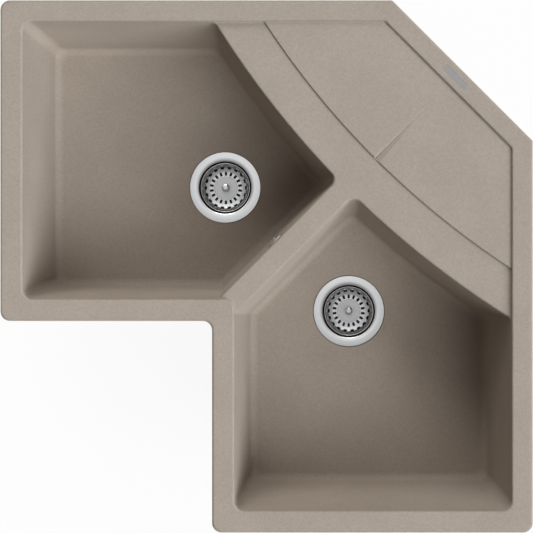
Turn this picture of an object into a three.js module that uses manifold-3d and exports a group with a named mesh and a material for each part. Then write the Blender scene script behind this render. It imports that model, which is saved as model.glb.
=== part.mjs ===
// L-shaped corner kitchen sink: two bowls, a lowered divider and drainboard, basket strainer
// wastes, an overflow with its hose, a rim seal and swivelling fixing clamps.
// Millimetres, +Z up. Z = 0 is the worktop. The origin lies on the rim's seat beside the inner
// corner of the L, on the diagonal x = y, about which the sink is a mirror image of itself.
import * as THREE from "three";
import { mergeVertices } from "three/addons/utils/BufferGeometryUtils.js";
import Module from "manifold-3d";

// ---- Outline of the rim
const SIDE = 830; // overall width and depth of the L
const LEG = 500; // width of each leg
const CORNER_CUT = 219; // length cut off the back corner along each side
const SEAT_INSET = 6; // from the legs' inner edges to the origin
const OUTER_RADIUS = 15;
const CUT_CORNER_RADIUS = 4;
const RIM_HEIGHT = 9; // rim top above the worktop
const RIM_EDGE_ROUND = 4;
const RIM_WIDTH = 34.3; // flat rim beside the bowls at the sides and front
const RIM_WIDTH_BACK = 32.6;
const RIM_WIDTH_CUT = 31;
const RIM_INNER_ROUND = 3;

// ---- Bowls
const BOWL_DEPTH = 200; // rim top to bowl floor
const WALL = 9;
const FLOOR = 10;
const DRAFT_ANGLE = 4.6; // degrees
const FLOOR_FILLET = 14;
const BOWL_CORNER_RADIUS = 16;
const TIP_CORNER_RADIUS = 15; // where the divider meets the curved edge
const BACK_CORNER_RADIUS = 12; // where the curved edge meets the back rim
const FRONT_CORNER_RADIUS = 4; // where the divider meets the front rim
const DIVIDER_WIDTH = 35.3;
const DECK_EDGE_ROUND = 3;

// ---- Curved band, drainboard and channel
const DECK_DROP = 7.5; // divider and band below the rim top
const DRAIN_DROP = 4; // drainboard below the rim top
const ARC_CENTRE = 1222.5; // centre of both bowls' curved edge, x and y from the L's inner corner
const ARC_RADIUS = 1434;
const DRAIN_ARC_CENTRE = 1186.7;
const DRAIN_ARC_RADIUS = 1320.6;
const DRAIN_STEP_WIDTH = 2.5;
const DECK_FOOT_ROUND = 2;
const DRAIN_FOOT_ROUND = 3;
const DRAIN_CORNER_RADIUS = 6;
const CHANNEL_LENGTH = 130;
const CHANNEL_WIDTH = 10;
const CHANNEL_STEEP_WIDTH = 2;

// ---- Underside
const CUTOUT_INSET = 12; // body inside the worktop's cut-out
const SEAL_INSET = 2.5;
const SEAL_WIDTH = 6;
const SEAL_DEPTH = 2;
const RIB_WIDTH = 7;
const RIB_DEPTH = 14;
const RIB_SPACING = 78;

// ---- Basket strainer wastes
const DRAIN_OFFSET = 148.5; // drain centre from the mirror plane
const DRAIN_ALONG = 158.5; // drain centre from the L's inner corner, along the mirror plane
const FLANGE_RADIUS = 60;
const FLANGE_CLEARANCE = 1;
const FLANGE_SEAT_DEPTH = 2.6;
const SHEET = 1.2; // pressed steel
const DRAIN_HOLE_RADIUS = 47.5;
const FLANGE_CROWN = 0.4; // flange's top above the bowl's floor
const FLANGE_SEAL_MARGIN = 2; // seal's edge inside the flange's
const DISH_RADIUS = 45.5;
const DISH_LIP = 4.5; // radius of the roll from flange to dish
const DISH_WALL_DEPTH = 22;
const DISH_DEPTH = 33;
const DISH_SEAT_RADIUS = 32;
const DISH_SLOTS = 6;
const DISH_SPOKE_WIDTH = 5;
const DISH_SLOT_BORDER = 3.5; // plain floor inside and outside the slots
const BASKET_RADIUS = 42.3;
const BASKET_SINK = 3; // basket rim below the flange
const BASKET_DEPTH = 15;
const BASKET_FLOOR_RADIUS = 28;
const BASKET_HEEL = 2.2; // run of the slope from floor to side
const BASKET_SLOTS = 18;
const BASKET_SLOT_RADIUS = 24.8;
const BASKET_SLOT_LENGTH = 6;
const BASKET_SLOT_WIDTH = 2.9;
const BASKET_FIRST_SLOT = 90; // degrees; one slot points straight to the back
const BASKET_HOLE_WIDTH = 6.2;
const BASKET_HOLE_HEIGHT = 5;
const BASKET_HOLE_RISE = 6.75; // middle of the side holes above the basket's floor
const KNOB_RADIUS = 6.4;
const KNOB_HEIGHT = 8;
const KNOB_NECK_RADIUS = 3.6;
const KNOB_NECK_HEIGHT = 5;
const KNOB_FOOT = 3; // foot wider than the neck
const KNOB_FOOT_THICKNESS = 1;
const KNOB_DOME = 5;
const PLUG_THICKNESS = 4;
const PLUG_LIP = 3; // run of the plug's tapering lip
const STEM_RADIUS = 2.4;
const STEM_TIP_RADIUS = 3;
const STEM_TIP_LENGTH = 7;
const STEM_WAIST = 0.8; // groove behind the tip
const STEM_COLLAR = 3; // collars wider than the stem, above and below the plug
const STEM_COLLAR_THICKNESS = 2;
const CLAMP_SCREW_HEAD_RADIUS = 9;
const CLAMP_SCREW_HEAD_HEIGHT = 3;
const CLAMP_SCREW_HEAD_EDGE = 1;
const CLAMP_SCREW_SOCKET_WALL = 1.5;
const CLAMP_SCREW_RADIUS = 4;
const CLAMP_SCREW_LENGTH = 22;
const GASKET_THICKNESS = 3;
const GASKET_WIDTH = 5;
const HOUSING_WALL = 3;
const HOUSING_ROOM = 1.4; // between the dish and the housing
const HOUSING_FLANGE = 4;
const HOUSING_DEPTH = 44; // under the sink floor, down to the start of the cone
const HOUSING_CONE = 18;
const OUTLET_RADIUS = 23.9;
const OUTLET_BORE_RADIUS = 20.4;
const OUTLET_LENGTH = 30;
const SPIDER_ARMS = 3;
const SPIDER_ARM_WIDTH = 7;
const SPIDER_HEIGHT = 8;
const SPIDER_HUB_RADIUS = 9;

// ---- Overflow
const OVERFLOW_DEPTH = 26; // centre of the hole under the divider's top
const OVERFLOW_COVER_RADIUS = 15.5;
const OVERFLOW_COVER_HEIGHT = 2.6;
const OVERFLOW_COVER_EDGE = 0.8;
const OVERFLOW_COVER_SLOPE = 3;
const OVERFLOW_HOLE_RADIUS = 12;
const OVERFLOW_SLOTS = 6;
const OVERFLOW_SLOT_INNER = 5.5;
const OVERFLOW_SLOT_OUTER = 10.5;
const OVERFLOW_SLOT_WIDTH = 3.2;
const OVERFLOW_GASKET = 2;
const OVERFLOW_BODY_RADIUS = 15;
const OVERFLOW_BODY_DEPTH = 15;
const OVERFLOW_BODY_WALL = 2;
const OVERFLOW_POST_RADIUS = 4;
const OVERFLOW_SCREW_RADIUS = 2;
const OVERFLOW_SCREW_HEAD_RADIUS = 4;
const OVERFLOW_SCREW_HEAD_HEIGHT = 1.4;
const OVERFLOW_PILOT_FLOOR = 3; // plastic left behind the screw's pilot hole
const SPIGOT_RADIUS = 6;
const SPIGOT_BORE_RADIUS = 4.6;
const SPIGOT_LENGTH = 28; // under the overflow's chamber
const SPIGOT_BARE = 7; // of it, above the hose's end
const HOSE_RADIUS = 9.6; // over the ribs
const HOSE_ROOT_RADIUS = 8.2;
const HOSE_RIBS = 44;
const HOSE_SIDES = 8;
const RIBS_PER_BORE_RING = 5;
const HOSE_BEND_RADIUS = 77; // four times the hose's own width
const HOSE_DROP = 26; // hose centre under the bowl's underside
const HOSE_NUT_RADIUS = 10.8;
const HOSE_NUT_LENGTH = 12;
const NUT_LIP = 2; // how far the upper nut stands above the hose's end
const PORT_LENGTH = 18;
const PORT_COLLAR = 5;

// ---- Fixing clamps
const BOSS_RADIUS = 6.5;
const BOSS_DEPTH = 30; // under the worktop's surface
const BOSS_WEB_WIDTH = 9;
const INSERT_RADIUS = 4;
const INSERT_LENGTH = 16;
const CLAMP_SCREW_SIZE = 4.8; // fixing screw, thread diameter
const FIXING_SCREW_LENGTH = 26;
const FIXING_HEAD_RADIUS = 5;
const FIXING_HEAD_HEIGHT = 3.4;
const CLAMP_LENGTH = 27; // screw to tip
const CLAMP_WIDTH = 13;
const CLAMP_SHEET = 2;
const CLAMP_RISE = 8; // height of the turned-up tip
const CLAMP_FOOT = 6; // length of the tip's bearing face
const CLAMP_TRAVEL = 4; // what is left for tightening, under the boss
// Clamps on the left half, each from the end of its edge of the rim; the right half mirrors them.
const CLAMP_FRONT = 146; // on the front edge, from the left one
const CLAMP_SIDE = 231; // on the left edge, from the front one
const CLAMP_BACK = 186; // on the back edge, from the left one
const CLAMP_DRAIN = 145; // on the back edge, from the cut corner

// ---- Fits
const GAP = 0.3; // between pieces that touch
const BORE_CLEARANCE = 0.4;
const PAST = 1; // how far a cutter or a joined part passes the other solid's face
const HOSE_BORE_RADIUS = (SPIGOT_RADIUS + GAP) / Math.cos(Math.PI / HOSE_SIDES);

// ---- Heights and places that follow
const DRAFT = (DRAFT_ANGLE * Math.PI) / 180;
const RIM_TOP = RIM_HEIGHT;
const DECK_Z = RIM_TOP - DECK_DROP;
const DRAIN_Z = RIM_TOP - DRAIN_DROP;
const DECK_UNDER_Z = DECK_Z - WALL;
const FLOOR_Z = RIM_TOP - BOWL_DEPTH;
const FLOOR_UNDER_Z = FLOOR_Z - FLOOR;
const FAR = LEG - SEAT_INSET; // back and right edges of the rim
const NEAR = FAR - SIDE; // left and front edges
const NOTCH = -SEAT_INSET;
const DIAGONAL = Math.SQRT1_2;
const CUT_DISTANCE = (2 * FAR - CORNER_CUT) * DIAGONAL;
const arcCentre = NOTCH + ARC_CENTRE;
const drainArcCentre = NOTCH + DRAIN_ARC_CENTRE;
const arcDistance = arcCentre / DIAGONAL - ARC_RADIUS; // curves from the origin, on the diagonal
const drainArcDistance = drainArcCentre / DIAGONAL - DRAIN_ARC_RADIUS;
const drainAlong = DRAIN_ALONG + NOTCH / DIAGONAL;
const HIDDEN = 12; // how far the deck's cutter reaches into the bowls

const wasm = await Module();
wasm.setup();

// ============================================================ solids

function solid(geometry) {
  const bare = geometry.clone();
  bare.deleteAttribute("normal");
  bare.deleteAttribute("uv");
  const merged = mergeVertices(bare, 1e-4);
  return new wasm.Manifold(
    new wasm.Mesh({
      numProp: 3,
      vertProperties: merged.attributes.position.array,
      triVerts: new Uint32Array(merged.index.array),
    }),
  );
}

function geometryOf(manifold) {
  const { vertProperties, triVerts } = manifold.getMesh();
  const geometry = new THREE.BufferGeometry();
  geometry.setAttribute("position", new THREE.BufferAttribute(vertProperties, 3));
  geometry.setIndex(new THREE.BufferAttribute(triVerts, 1));
  geometry.computeVertexNormals();
  return geometry;
}

const union = (...geometries) =>
  geometryOf(geometries.map(solid).reduce((sum, next) => sum.add(next)));

const cut = (geometry, ...tools) =>
  geometryOf(tools.map(solid).reduce((rest, tool) => rest.subtract(tool), solid(geometry)));

const moved = (geometry, x, y, z) => geometry.clone().translate(x, y, z);
const turned = (geometry, degrees) => geometry.clone().rotateZ((degrees * Math.PI) / 180);

// The mirror image about the vertical plane x = y, with its faces turned back outwards.
function mirrored(geometry) {
  const swap = new THREE.Matrix4().set(0, 1, 0, 0, 1, 0, 0, 0, 0, 0, 1, 0, 0, 0, 0, 1);
  const image = (geometry.index ? geometry.toNonIndexed() : geometry.clone()).applyMatrix4(swap);
  const p = image.attributes.position;
  for (let i = 0; i < p.count; i += 3) {
    const a = new THREE.Vector3().fromBufferAttribute(p, i);
    const b = new THREE.Vector3().fromBufferAttribute(p, i + 1);
    p.setXYZ(i, b.x, b.y, b.z);
    p.setXYZ(i + 1, a.x, a.y, a.z);
  }
  return image;
}

// A solid of revolution about Z. The profile holds [radius, height] pairs, and runs up the
// outside and down the inside, from axis to axis or closed on itself.
function revolved(profile, segments = 32) {
  const points = profile.map(([r, z]) => new THREE.Vector2(r, z));
  return new THREE.LatheGeometry(points, segments).rotateX(Math.PI / 2);
}

const tubeProfile = (outer, inner, bottom, top) => [
  [inner, bottom],
  [outer, bottom],
  [outer, top],
  [inner, top],
  [inner, bottom],
];

const rod = (radius, bottom, top, segments = 24) =>
  revolved([[0, bottom], [radius, bottom], [radius, top], [0, top]], segments);

const hexagon = (radius, bottom, top) => rod(radius, bottom, top, 6);

const block = (x0, x1, y0, y1, z0, z1) =>
  new THREE.BoxGeometry(x1 - x0, y1 - y0, z1 - z0).translate(
    (x0 + x1) / 2,
    (y0 + y1) / 2,
    (z0 + z1) / 2,
  );

// ============================================================ outlines

// An outline is a counter-clockwise list of edges. An edge is a line (unit normal n pointing
// inwards, and d with n.p = d on the line) or an arc (centre c, radius r, and side +1 where the
// inside lies outside the circle). corner is the fillet radius where the edge meets the next
// one, negative at a re-entrant corner, and hint is a point near that meeting.
const line = (nx, ny, d, corner, hint, kind) => ({ n: [nx, ny], d, corner, hint, kind });
const arc = (centre, r, side, corner, hint, kind, steps) => ({
  c: [centre, centre],
  r,
  side,
  corner,
  hint,
  kind,
  steps,
});

// The edge moved inwards by a distance.
const inset = (edge, by) =>
  edge.n ? { ...edge, d: edge.d + by } : { ...edge, r: edge.r + edge.side * by };

// The point on an edge nearest to p.
function nearest(edge, [x, y]) {
  if (edge.n) {
    const off = edge.n[0] * x + edge.n[1] * y - edge.d;
    return [x - edge.n[0] * off, y - edge.n[1] * off];
  }
  const [dx, dy] = [x - edge.c[0], y - edge.c[1]];
  const k = edge.r / Math.hypot(dx, dy);
  return [edge.c[0] + dx * k, edge.c[1] + dy * k];
}

// Where two edges cross, taking the crossing nearest to the hint.
function crossing(a, b, hint) {
  if (a.n && b.n) {
    const det = a.n[0] * b.n[1] - a.n[1] * b.n[0];
    return [(a.d * b.n[1] - b.d * a.n[1]) / det, (b.d * a.n[0] - a.d * b.n[0]) / det];
  }
  const [straight, round] = a.n ? [a, b] : [b, a];
  const foot = nearest(straight, round.c);
  const away = Math.hypot(foot[0] - round.c[0], foot[1] - round.c[1]);
  const half = Math.sqrt(round.r * round.r - away * away);
  const along = [-straight.n[1], straight.n[0]];
  const ends = [half, -half].map((k) => [foot[0] + along[0] * k, foot[1] + along[1] * k]);
  const far = ([x, y]) => Math.hypot(x - hint[0], y - hint[1]);
  return far(ends[0]) < far(ends[1]) ? ends[0] : ends[1];
}

// The closed ring of an outline at height z, each edge moved inwards by shift(edge). Every ring
// of one outline has the same number of points, so rings can be joined into a loft.
function ring(outline, z, shift) {
  const points = [];
  const fillets = outline.map((edge, i) => {
    const next = outline[(i + 1) % outline.length];
    const a = inset(edge, shift(edge));
    const b = inset(next, shift(next));
    const centre = crossing(inset(a, edge.corner), inset(b, edge.corner), edge.hint);
    return { centre, from: nearest(a, centre), to: nearest(b, centre), edge: a };
  });
  fillets.forEach(({ centre, from, to, edge }, i) => {
    const start = fillets[(i + fillets.length - 1) % fillets.length].to;
    if (edge.c) {
      const begin = Math.atan2(start[1] - edge.c[1], start[0] - edge.c[0]);
      const end = Math.atan2(from[1] - edge.c[1], from[0] - edge.c[0]);
      const sweep = Math.atan2(Math.sin(end - begin), Math.cos(end - begin));
      for (let k = 1; k < edge.steps; k++) {
        const angle = begin + (sweep * k) / edge.steps;
        const [x, y] = [Math.cos(angle) * edge.r, Math.sin(angle) * edge.r];
        points.push([edge.c[0] + x, edge.c[1] + y, z]);
      }
    }
    const radius = Math.abs(outline[i].corner);
    const begin = Math.atan2(from[1] - centre[1], from[0] - centre[0]);
    const end = Math.atan2(to[1] - centre[1], to[0] - centre[0]);
    const sweep = Math.atan2(Math.sin(end - begin), Math.cos(end - begin));
    const steps = outline[i].turn ?? 4;
    for (let k = 0; k <= steps; k++) {
      const angle = begin + (sweep * k) / steps;
      points.push([
        centre[0] + Math.cos(angle) * radius,
        centre[1] + Math.sin(angle) * radius,
        z,
      ]);
    }
  });
  return points;
}

// A closed solid through rings listed from the bottom up.
function loft(rings) {
  const count = rings[0].length;
  const positions = rings.flat(2);
  const index = [];
  for (let level = 0; level + 1 < rings.length; level++) {
    for (let i = 0; i < count; i++) {
      const j = (i + 1) % count;
      const [a, b] = [level * count + i, level * count + j];
      index.push(a, b, b + count, a, b + count, a + count);
    }
  }
  const cap = (points, offset, up) => {
    const flat = points.map(([x, y]) => new THREE.Vector2(x, y));
    for (const [a, b, c] of THREE.ShapeUtils.triangulateShape(flat, [])) {
      index.push(offset + a, offset + (up ? b : c), offset + (up ? c : b));
    }
  };
  cap(rings[0], 0, false);
  cap(rings.at(-1), (rings.length - 1) * count, true);
  const geometry = new THREE.BufferGeometry();
  geometry.setAttribute("position", new THREE.Float32BufferAttribute(positions, 3));
  geometry.setIndex(index);
  return geometry;
}

// A flat plate of an outline between two heights.
const plate = (outline, bottom, top, by = 0) =>
  loft([ring(outline, bottom, () => by), ring(outline, top, () => by)]);

const rimOutline = [
  line(1, 0, NOTCH, OUTER_RADIUS, [NOTCH, NEAR]),
  line(0, 1, NEAR, OUTER_RADIUS, [FAR, NEAR]),
  line(-1, 0, -FAR, CUT_CORNER_RADIUS, [FAR, FAR - CORNER_CUT]),
  line(-DIAGONAL, -DIAGONAL, -CUT_DISTANCE, CUT_CORNER_RADIUS, [FAR - CORNER_CUT, FAR]),
  line(0, -1, -FAR, OUTER_RADIUS, [NEAR, FAR]),
  line(1, 0, NEAR, OUTER_RADIUS, [NEAR, NOTCH]),
  line(0, 1, NOTCH, -OUTER_RADIUS, [NOTCH, NOTCH]),
];

const FRONT = NOTCH + RIM_WIDTH;
const LEFT = NEAR + RIM_WIDTH;
const BACK = FAR - RIM_WIDTH_BACK;
const CUT = CUT_DISTANCE - RIM_WIDTH_CUT;
const HALF_DIVIDER = DIVIDER_WIDTH / 2;

// The left bowl's top edge: rim edges lie at the rim's height, deck edges at the deck's.
const bowlOutline = [
  line(0, 1, FRONT, FRONT_CORNER_RADIUS, [0, FRONT], "rim"),
  line(-DIAGONAL, DIAGONAL, HALF_DIVIDER, TIP_CORNER_RADIUS, [160, 190], "deck"),
  arc(arcCentre, ARC_RADIUS, 1, BACK_CORNER_RADIUS, [-8, BACK], "deck", 7),
  line(0, -1, -BACK, BOWL_CORNER_RADIUS, [LEFT, BACK], "rim"),
  line(1, 0, LEFT, BOWL_CORNER_RADIUS, [LEFT, FRONT], "rim"),
];

const HIDDEN_DIVIDER = HALF_DIVIDER + HIDDEN;
const HIDDEN_ARC = ARC_RADIUS + HIDDEN;
const hiddenTip = [
  [(arcDistance + HIDDEN_DIVIDER) * DIAGONAL, (arcDistance - HIDDEN_DIVIDER) * DIAGONAL],
  [(arcDistance - HIDDEN_DIVIDER) * DIAGONAL, (arcDistance + HIDDEN_DIVIDER) * DIAGONAL],
];

// The lowered deck of divider and band, out to the far side that is given.
const deckOutline = (...farSide) => [
  line(1, 0, FRONT, 1, [FRONT, -15], "rim"),
  line(-DIAGONAL, DIAGONAL, -HIDDEN_DIVIDER, -1, hiddenTip[0], "hidden"),
  arc(arcCentre, HIDDEN_ARC, -1, 1, [BACK, -25], "hidden", 7),
  ...farSide,
  arc(arcCentre, HIDDEN_ARC, -1, -1, hiddenTip[1], "hidden", 7),
  line(DIAGONAL, -DIAGONAL, -HIDDEN_DIVIDER, 1, [-15, FRONT], "hidden"),
  line(0, 1, FRONT, -OUTER_RADIUS, [FRONT, FRONT], "rim"),
];

const bandOutline = deckOutline(
  line(-1, 0, -BACK, 1, [BACK, 70], "rim"),
  arc(drainArcCentre, DRAIN_ARC_RADIUS, 1, 1, [70, BACK], "step", 9),
  line(0, -1, -BACK, 1, [-25, BACK], "rim"),
);

const drainOutline = deckOutline(
  line(-1, 0, -BACK, DRAIN_CORNER_RADIUS, [BACK, 250], "rim"),
  line(-DIAGONAL, -DIAGONAL, -CUT, DRAIN_CORNER_RADIUS, [250, BACK], "rim"),
  line(0, -1, -BACK, 1, [-25, BACK], "rim"),
);

// ============================================================ sink body

const topOf = { rim: RIM_TOP, deck: DECK_Z };

// How far a drafted wall has moved inwards at height z.
const drafted = (edge, z) => (edge.kind in topOf ? (topOf[edge.kind] - z) * Math.tan(DRAFT) : 0);

const steps = (count, from, to) =>
  Array.from({ length: count + 1 }, (_, k) => from + ((to - from) * k) / count);

// Rings of the rounding over the top edge of the walls of one kind, other walls held.
function roundedEdge(outline, kind, top, radius, hold, count = 3) {
  const tangent = top - radius + radius * Math.sin(DRAFT);
  return steps(count, DRAFT, Math.PI / 2).map((angle) => {
    const z = top - radius + radius * Math.sin(angle);
    const shift = (edge) =>
      edge.kind === kind
        ? drafted(edge, tangent) - radius * (Math.cos(DRAFT) - Math.cos(angle))
        : hold(edge, z);
    return ring(outline, z, shift);
  });
}

// Rings of the fillet where drafted walls run into a floor.
function floorFillet(outline, floor, radius, outset = 0, count = 4) {
  const tangent = floor + radius * (1 - Math.sin(DRAFT));
  return steps(count, 0, Math.PI / 2 - DRAFT).map((angle) => {
    const z = floor + radius * (1 - Math.cos(angle));
    const inward = radius * (Math.cos(DRAFT) - Math.sin(angle));
    return ring(outline, z, (edge) => drafted(edge, tangent) + inward - outset);
  });
}

function bowlCutter() {
  const deckFlare = DECK_EDGE_ROUND * Math.cos(DRAFT);
  const rims = (edge, z) => (edge.kind === "rim" ? drafted(edge, z) : -deckFlare);
  const rounded = roundedEdge(bowlOutline, "rim", RIM_TOP, RIM_INNER_ROUND, rims);
  return loft([
    ...floorFillet(bowlOutline, FLOOR_Z, FLOOR_FILLET),
    ...roundedEdge(bowlOutline, "deck", DECK_Z, DECK_EDGE_ROUND, drafted),
    ...rounded,
    rounded.at(-1).map(([x, y]) => [x, y, RIM_TOP + PAST]),
  ]);
}

function bowlShell() {
  const wall = WALL / Math.cos(DRAFT);
  return loft([
    ...floorFillet(bowlOutline, FLOOR_UNDER_Z, FLOOR_FILLET + WALL, wall, 3),
    ring(bowlOutline, DECK_Z - DECK_EDGE_ROUND, (edge) => drafted(edge, DECK_Z) - wall),
  ]);
}

// The slanting step from the band up to the drainboard, moved outwards as it rises.
const stepShift = (z) =>
  -DRAIN_STEP_WIDTH * Math.min(1, Math.max(0, (z - DECK_Z) / (DRAIN_Z - DECK_Z)));

// The space above a lowered deck, with a small round where the rim's wall meets it.
function deckCutter(outline, floor, foot, levels = []) {
  const wallOf = (edge, z) => (edge.kind === "rim" ? drafted(edge, z) : 0);
  const shifts = (z, extra) => (edge) => {
    if (edge.kind === "step") return stepShift(z);
    return wallOf(edge, z) + (edge.kind === "rim" ? extra : 0);
  };
  const hold = (edge) => (edge.kind === "step" ? stepShift(RIM_TOP) : 0);
  const rounded = roundedEdge(outline, "rim", RIM_TOP, RIM_INNER_ROUND, hold);
  const low = foot * (1 - Math.SQRT1_2);
  return loft([
    ring(outline, floor, shifts(floor, foot)),
    ring(outline, floor + low, shifts(floor + low, low)),
    ring(outline, floor + foot, shifts(floor + foot, 0)),
    ...levels.map((z) => ring(outline, z, shifts(z, 0))),
    ...rounded,
    rounded.at(-1).map(([x, y]) => [x, y, RIM_TOP + PAST]),
  ]);
}

// The channel that leads from the drainboard down to the band, shallow at its start.
function channelCutter() {
  const reach = drainArcDistance - DRAIN_STEP_WIDTH - 4 * PAST;
  const start = drainArcDistance + CHANNEL_LENGTH;
  const slope = (DRAIN_Z - DECK_Z) / CHANNEL_LENGTH;
  const section = (along, depth) => {
    const share = (depth + PAST) / (DRAIN_Z - DECK_Z);
    return [
      [along, CHANNEL_STEEP_WIDTH * share, DRAIN_Z + PAST],
      [along, -CHANNEL_WIDTH * share, DRAIN_Z + PAST],
      [along, 0, DRAIN_Z - depth],
    ];
  };
  const corners = [
    ...section(reach, slope * (start - reach)),
    ...section(start, 0),
  ].map(([along, across, z]) => [
    (along - across) * DIAGONAL,
    (along + across) * DIAGONAL,
    z,
  ]);
  const geometry = new THREE.BufferGeometry();
  geometry.setAttribute("position", new THREE.Float32BufferAttribute(corners.flat(), 3));
  geometry.setIndex([0, 2, 1, 3, 4, 5, 0, 1, 4, 0, 4, 3, 1, 2, 5, 1, 5, 4, 2, 0, 3, 2, 3, 5]);
  return geometry;
}

const drainX = (drainAlong - DRAIN_OFFSET) * DIAGONAL;
const drainY = (drainAlong + DRAIN_OFFSET) * DIAGONAL;
const overflowZ = DECK_Z - OVERFLOW_DEPTH;
const overflowWall = HALF_DIVIDER + OVERFLOW_DEPTH * Math.tan(DRAFT); // inner face, off the mirror plane

// Carries a piece modelled about Z into the overflow hole: +Z turns to face into the left bowl,
// square to the drafted wall, with Z = 0 on the wall's face.
function inOverflow(geometry) {
  const along = new THREE.Vector3(DIAGONAL, DIAGONAL, 0);
  const across = new THREE.Vector3(-DIAGONAL, DIAGONAL, 0).multiplyScalar(Math.cos(DRAFT));
  const facing = across.setZ(Math.sin(DRAFT));
  const down = new THREE.Vector3().crossVectors(facing, along);
  const hole = new THREE.Matrix4()
    .makeBasis(along, down, facing)
    .setPosition(...mirrorPlace(overflowWall, overflowZ));
  return geometry.clone().applyMatrix4(hole);
}

// A point beside the drains, given by its distance from the mirror plane and its height.
const mirrorPlace = (across, z) => [
  (drainAlong - across) * DIAGONAL,
  (drainAlong + across) * DIAGONAL,
  z,
];

function drainCutter() {
  return revolved(
    [
      [0, FLOOR_UNDER_Z - PAST],
      [DRAIN_HOLE_RADIUS, FLOOR_UNDER_Z - PAST],
      [DRAIN_HOLE_RADIUS, FLOOR_Z - FLANGE_SEAT_DEPTH],
      [FLANGE_RADIUS + FLANGE_CLEARANCE, FLOOR_Z - FLANGE_SEAT_DEPTH],
      [FLANGE_RADIUS + FLANGE_CLEARANCE, FLOOR_Z + PAST],
      [0, FLOOR_Z + PAST],
    ],
    40,
  ).translate(drainX, drainY, 0);
}

// Clamp screws stand inside the cut-out; facing is the way out from the sink, in degrees.
const SCREW_INSET = CUTOUT_INSET + BOSS_RADIUS + GAP;
const clampPlaces = [
  { x: NEAR + CLAMP_FRONT, y: NOTCH + SCREW_INSET, facing: -90 },
  { x: NEAR + SCREW_INSET, y: NOTCH + CLAMP_SIDE, facing: 180 },
  { x: NEAR + CLAMP_BACK, y: FAR - SCREW_INSET, facing: 90 },
  { x: FAR - CORNER_CUT - CLAMP_DRAIN, y: FAR - SCREW_INSET, facing: 90 },
];

const bossBottom = -BOSS_DEPTH;
const insertTop = bossBottom + INSERT_LENGTH + GAP;

function boss({ x, y, facing }) {
  const web = RIM_WIDTH - SCREW_INSET;
  const post = union(
    rod(BOSS_RADIUS, bossBottom, DECK_UNDER_Z + PAST, 12),
    block(-web, 0, -BOSS_WEB_WIDTH / 2, BOSS_WEB_WIDTH / 2, bossBottom, DECK_UNDER_Z + PAST),
  );
  return turned(post, facing).translate(x, y, 0);
}

const bossHole = ({ x, y }) =>
  rod(INSERT_RADIUS + GAP, bossBottom - PAST, insertTop + GAP, 8).translate(x, y, 0);

// Ribs under the drainboard, across the mirror plane.
function ribs() {
  const first = arcDistance + RIB_SPACING;
  const last = CUT_DISTANCE - RIM_WIDTH_CUT - RIB_WIDTH;
  const reach = (along) => BACK / DIAGONAL - along - WALL;
  const places = [];
  for (let along = first; along < last; along += RIB_SPACING) places.push(along);
  return places.map((along) =>
    turned(
      block(
        along - RIB_WIDTH / 2,
        along + RIB_WIDTH / 2,
        -reach(along),
        reach(along),
        DECK_UNDER_Z - RIB_DEPTH,
        DECK_UNDER_Z + PAST,
      ),
      45,
    ),
  );
}

function sealGroove(bottom, top, spare) {
  return cut(
    plate(rimOutline, bottom, top, SEAL_INSET - spare),
    plate(rimOutline, bottom - PAST, top + PAST, SEAL_INSET + SEAL_WIDTH + spare),
  );
}

function sinkBody() {
  const outer = loft([
    ring(rimOutline, 0, () => 0),
    ...steps(3, 0, Math.PI / 2).map((angle) => {
      const z = RIM_TOP - RIM_EDGE_ROUND * (1 - Math.sin(angle));
      return ring(rimOutline, z, () => RIM_EDGE_ROUND * (1 - Math.cos(angle)));
    }),
  ]);
  const pan = plate(rimOutline, DECK_UNDER_Z, RIM_TOP / 2, CUTOUT_INSET);
  const shell = bowlShell();
  const bosses = clampPlaces.map(boss);
  const holes = clampPlaces.map(bossHole);
  const body = union(
    outer,
    pan,
    shell,
    mirrored(shell),
    ...bosses,
    ...bosses.map(mirrored),
    ...ribs(),
  );
  const bowl = bowlCutter();
  const drain = drainCutter();
  return cut(
    body,
    bowl,
    mirrored(bowl),
    deckCutter(bandOutline, DECK_Z, DECK_FOOT_ROUND, [DRAIN_Z]),
    deckCutter(drainOutline, DRAIN_Z, DRAIN_FOOT_ROUND),
    channelCutter(),
    drain,
    mirrored(drain),
    inOverflow(rod(OVERFLOW_HOLE_RADIUS, -2 * WALL, WALL, 20)),
    sealGroove(-1, SEAL_DEPTH, GAP),
    ...holes,
    ...holes.map(mirrored),
  );
}

// ============================================================ strainer waste
// Each piece is modelled about Z with Z = 0 on the bowl's floor, and placed at the drain.

const seatTop = -FLANGE_SEAT_DEPTH; // floor of the flange's recess
const flangeUnder = -SHEET;
const basketRim = -BASKET_SINK;
const basketFloor = basketRim - BASKET_DEPTH;
const dishFloor = -DISH_DEPTH;

function flangeSeal() {
  const inner = DRAIN_HOLE_RADIUS;
  const outer = FLANGE_RADIUS - FLANGE_SEAL_MARGIN;
  return revolved(tubeProfile(outer, inner, seatTop + GAP, flangeUnder - GAP), 24);
}

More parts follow.
